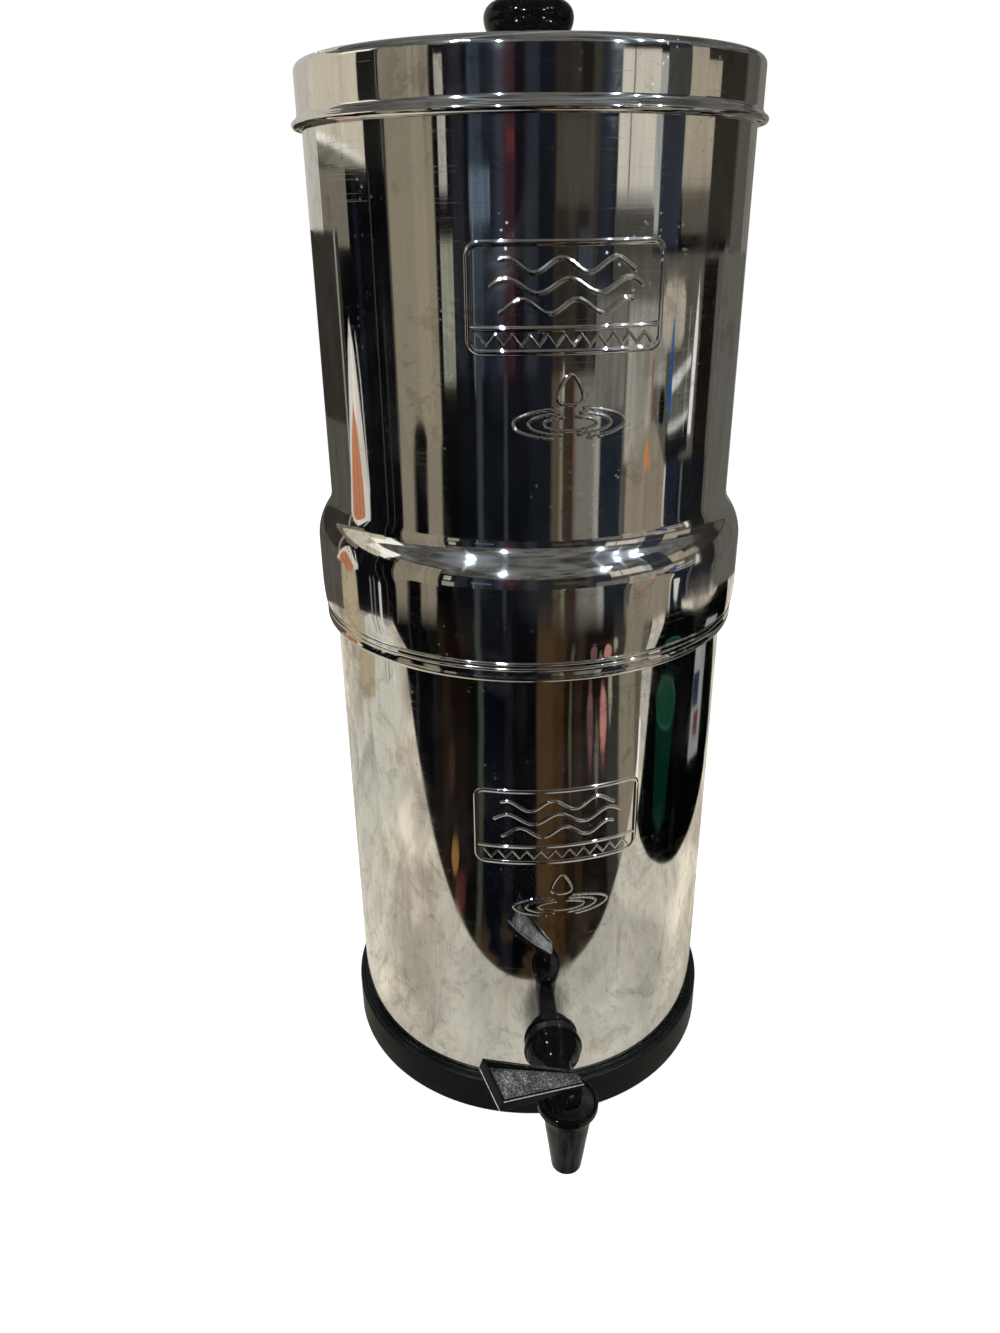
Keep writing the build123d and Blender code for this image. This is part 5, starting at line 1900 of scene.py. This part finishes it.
    def _floor_look(self) -> bpy.types.Material:
        """What shows beyond the counter's edge: one row of tones far away, one nearer, with soft things in it."""
        look = Look("far_floor_card")
        reach = look.reach()
        bearing = self._bearing(look) + (look.noise(9.0, 2.0) - 0.5) * 0.004
        far, near = self._ramp(look, bearing, FAR_FLOOR), self._ramp(look, bearing, NEAR_FLOOR)
        colour = look.mix(reach.step(0.86, 1.0), near, far)
        boards = look.noise(24.0, 2.0).step(0.50, 0.60) * reach.step(0.33, 0.25) * 0.6
        cluttered = look.mix(boards, colour, mirrored(66, 52, 38))
        for toy in TOYS:
            off = (bearing - (toy.bearing + 180) / 360) * (360 / toy.half_bearing)
            out = (reach - toy.reach) / toy.half_reach + (look.noise(30.0, 2.0) - 0.5)
            cluttered = look.mix((off * off + out * out).step(1.1, 0.4), cluttered, mirrored(*toy.tone))
        return look.glowing(cluttered, 0.75 + look.noise(40.0, 4.0) * 0.5)

    @staticmethod
    def _ramp(look: Look, bearing: Signal, tones: tuple[tuple[float, Tone], ...],
              edge: float = 0.0008) -> bpy.types.NodeSocket:
        """Colours by bearing.

        Args:
            look: The material.
            bearing: From 0 to 1.
            tones: The bearing in degrees at which each tone starts, and the tone.
            edge: Share of a turn over which one tone runs into the next.

        Returns:
            The colour.
        """
        stops: list[tuple[float, Colour]] = []
        for number, (start, tone) in enumerate(tones):
            place = (start + 180) / 360
            if number:
                stops.append((place - edge, mirrored(*tones[number - 1][1])))
            stops.append((place, mirrored(*tone)))
        half = len(stops) // 2
        halves = [look.node("ShaderNodeValToRGB", {"stops": part}, {0: bearing}).outputs[0]
                  for part in (stops[:half + 1], stops[half:])]
        return look.mix(bearing.over(stops[half][0]), halves[0], halves[1])

    def _build_ceiling(self) -> None:
        """Hazy ceiling, brighter round its lamps, and the lamps."""
        look = Look("ceiling_card")
        x, y = look.axis("X"), look.axis("Y")
        haze: "Signal | float" = 0.0
        beams: "Signal | float" = 0.0
        for bulb in BULBS:
            at = self._spot(bulb.bearing, bulb.reach)
            away = look.reach(*at)
            haze = away.step(0.42, 0.0) + haze
            across = (x * (at[1] / bulb.reach) - y * (at[0] / bulb.reach)).size()
            beams = across.step(0.045, 0.0) * away.step(1.3, 0.0) + beams
        grain = look.noise(60.0, 4.0, roughness=0.7)
        plain = look.mix(look.noise(3.0, 4.0).step(0.3, 0.7), mirrored(50, 49, 47), mirrored(104, 103, 99))
        hazy = look.mix(haze * 0.35, plain, mirrored(154, 168, 182))
        colour = look.mix(beams * 0.6, hazy, mirrored(196, 216, 236))
        material = look.glowing(colour, 0.6 + grain * 0.8)
        self._card(disc("ceiling", 64, self.ceiling_reach, CEILING_Z), material)
        for bulb in BULBS:
            place = (*self._spot(bulb.bearing, bulb.reach), CEILING_Z - self.bulb_drop)
            deselect()
            bpy.ops.mesh.primitive_uv_sphere_add(segments=16, ring_count=8, radius=bulb.size, location=place)
            lamp = bpy.context.object
            lamp.name = bulb.name
            bpy.ops.object.transform_apply(location=True, rotation=False, scale=False)
            self._card(lamp, Look("bulb_card").glowing((0.82, 0.92, 1.0), bulb.strength))

    def _build_cupboard_underside(self) -> None:
        """Lays the grey underside of the cupboard on the left, and the bright light in the ceiling over it."""
        corners = ((-2.20, 0.07), (-0.80, 0.72), (-1.10, 1.45), (-2.90, 0.70))
        self._card(self._flat("cupboard_underside", corners, CABINET_Z), self._glow(mirrored(112, 107, 95), 0.5))
        light = tuple(self._spot(bearing, reach) for bearing, reach in ((-95, 2.5), (-80, 2.9), (-73, 1.6), (-86, 1.5)))
        self._card(self._flat("ceiling_light", light, CEILING_Z - 0.01), self._glow(mirrored(226, 222, 210), 0.1))


@dataclass
class Studio:
    """Camera, pale floor and plain soft light."""

    eye: tuple[float, float, float] = (-75.7 * MM, -563.3 * MM, 517.8 * MM)
    heading: float = 5.91           # degrees to the right of +Y
    tilt: float = 24.97             # degrees downwards
    roll: float = -0.65
    lens: float = 27.03
    floor_reach: float = 6.0
    floor_glow: float = 0.52        # what makes the lit floor white to the camera
    sky_strength: float = 0.62
    aim_height: float = 0.25        # where both lamps point

    def build_camera(self) -> None:
        """Places the camera."""
        data = bpy.data.cameras.new("camera")
        data.lens, data.sensor_width, data.clip_start = self.lens, 36.0, 0.01
        camera = bpy.data.objects.new("camera", data)
        bpy.context.scene.collection.objects.link(camera)
        heading, tilt, roll = (math.radians(angle) for angle in (self.heading, self.tilt, self.roll))
        forward = Vector((math.sin(heading) * math.cos(tilt), math.cos(heading) * math.cos(tilt), -math.sin(tilt)))
        level = forward.cross(Vector((0, 0, 1))).normalized()
        upward = level.cross(forward)
        right = math.cos(roll) * level + math.sin(roll) * upward
        upward = right.cross(forward)
        turn = Matrix((right, upward, -forward)).transposed()
        camera.matrix_world = Matrix.Translation(self.eye) @ turn.to_4x4()
        bpy.context.scene.camera = camera

    def build_backdrop(self) -> None:
        """Makes the floor and the world, which are white to the camera and in reflections."""
        look = Look("floor")
        path = look.node("ShaderNodeLightPath")
        shown = [Signal(look, path.outputs[name]) for name in ("Is Camera Ray", "Is Glossy Ray", "Is Transmission Ray")]
        seen = shown[0].greatest(shown[1]).greatest(shown[2])
        matt = look.node("ShaderNodeBsdfDiffuse", None, {"Color": (0.80, 0.80, 0.79)}).outputs[0]
        lit = {"Color": (1.0, 1.0, 1.0), "Strength": seen * self.floor_glow}
        glow = look.node("ShaderNodeEmission", None, lit).outputs[0]
        both = look.node("ShaderNodeAddShader", None, {0: matt, 1: glow}).outputs[0]
        floor = disc("floor", 96, self.floor_reach)
        floor.data.materials.append(look.finish(both))

        world = bpy.data.worlds.new("studio")
        bpy.context.scene.world = world
        world.use_nodes = True
        nodes, links = world.node_tree.nodes, world.node_tree.links
        nodes.clear()
        path = nodes.new("ShaderNodeLightPath")
        plain, white = nodes.new("ShaderNodeBackground"), nodes.new("ShaderNodeBackground")
        plain.inputs[0].default_value = (0.94, 0.97, 1.0, 1.0)
        plain.inputs[1].default_value = self.sky_strength
        white.inputs[0].default_value = (1.0, 1.0, 1.0, 1.0)
        first, second, mix = nodes.new("ShaderNodeMath"), nodes.new("ShaderNodeMath"), nodes.new("ShaderNodeMixShader")
        first.operation = second.operation = "MAXIMUM"
        output = nodes.new("ShaderNodeOutputWorld")
        links.new(path.outputs["Is Camera Ray"], first.inputs[0])
        links.new(path.outputs["Is Glossy Ray"], first.inputs[1])
        links.new(first.outputs[0], second.inputs[0])
        links.new(path.outputs["Is Transmission Ray"], second.inputs[1])
        links.new(second.outputs[0], mix.inputs[0])
        links.new(plain.outputs[0], mix.inputs[1])
        links.new(white.outputs[0], mix.inputs[2])
        links.new(mix.outputs[0], output.inputs[0])
        view = bpy.context.scene.view_settings
        view.view_transform = "Standard"

    def build_lamps(self) -> None:
        """Hangs two soft lamps, which light the floor and the plastics."""
        for name, place, size, watts in (("key", (-0.7, -1.0, 1.5), 0.9, 17.0), ("fill", (1.1, -0.5, 1.2), 1.2, 9.0)):
            data = bpy.data.lights.new(name, "AREA")
            data.size, data.energy = size, watts
            lamp = bpy.data.objects.new(name, data)
            bpy.context.scene.collection.objects.link(lamp)
            lamp.location = place
            aim = Vector((0, 0, self.aim_height)) - Vector(place)
            lamp.rotation_euler = aim.to_track_quat("-Z", "Y").to_euler()
            lamp.visible_glossy = False


def main() -> None:
    """Builds every piece in order."""
    logging.basicConfig(level=logging.INFO, format="%(name)s: %(message)s")
    studio = Studio()
    studio.build_camera()
    finishes = Finishes(nozzle_top=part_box("tap_bonnet")[1].z - BONNET_RIM - BARREL_COLLAR)
    finishes.make()
    lower = LowerChamber()
    lower.build_ring(finishes)
    lower.build_wall(finishes)
    UpperChamber().build_wall(finishes)
    lid = Lid()
    lid.build_shell(finishes)
    lid.build_knob(finishes)
    Tap().build(finishes)
    Lever().build(finishes)
    InnerPieces().dress(finishes)
    studio.build_backdrop()
    studio.build_lamps()
    Room().build()


if __name__ == "__main__":
    main()
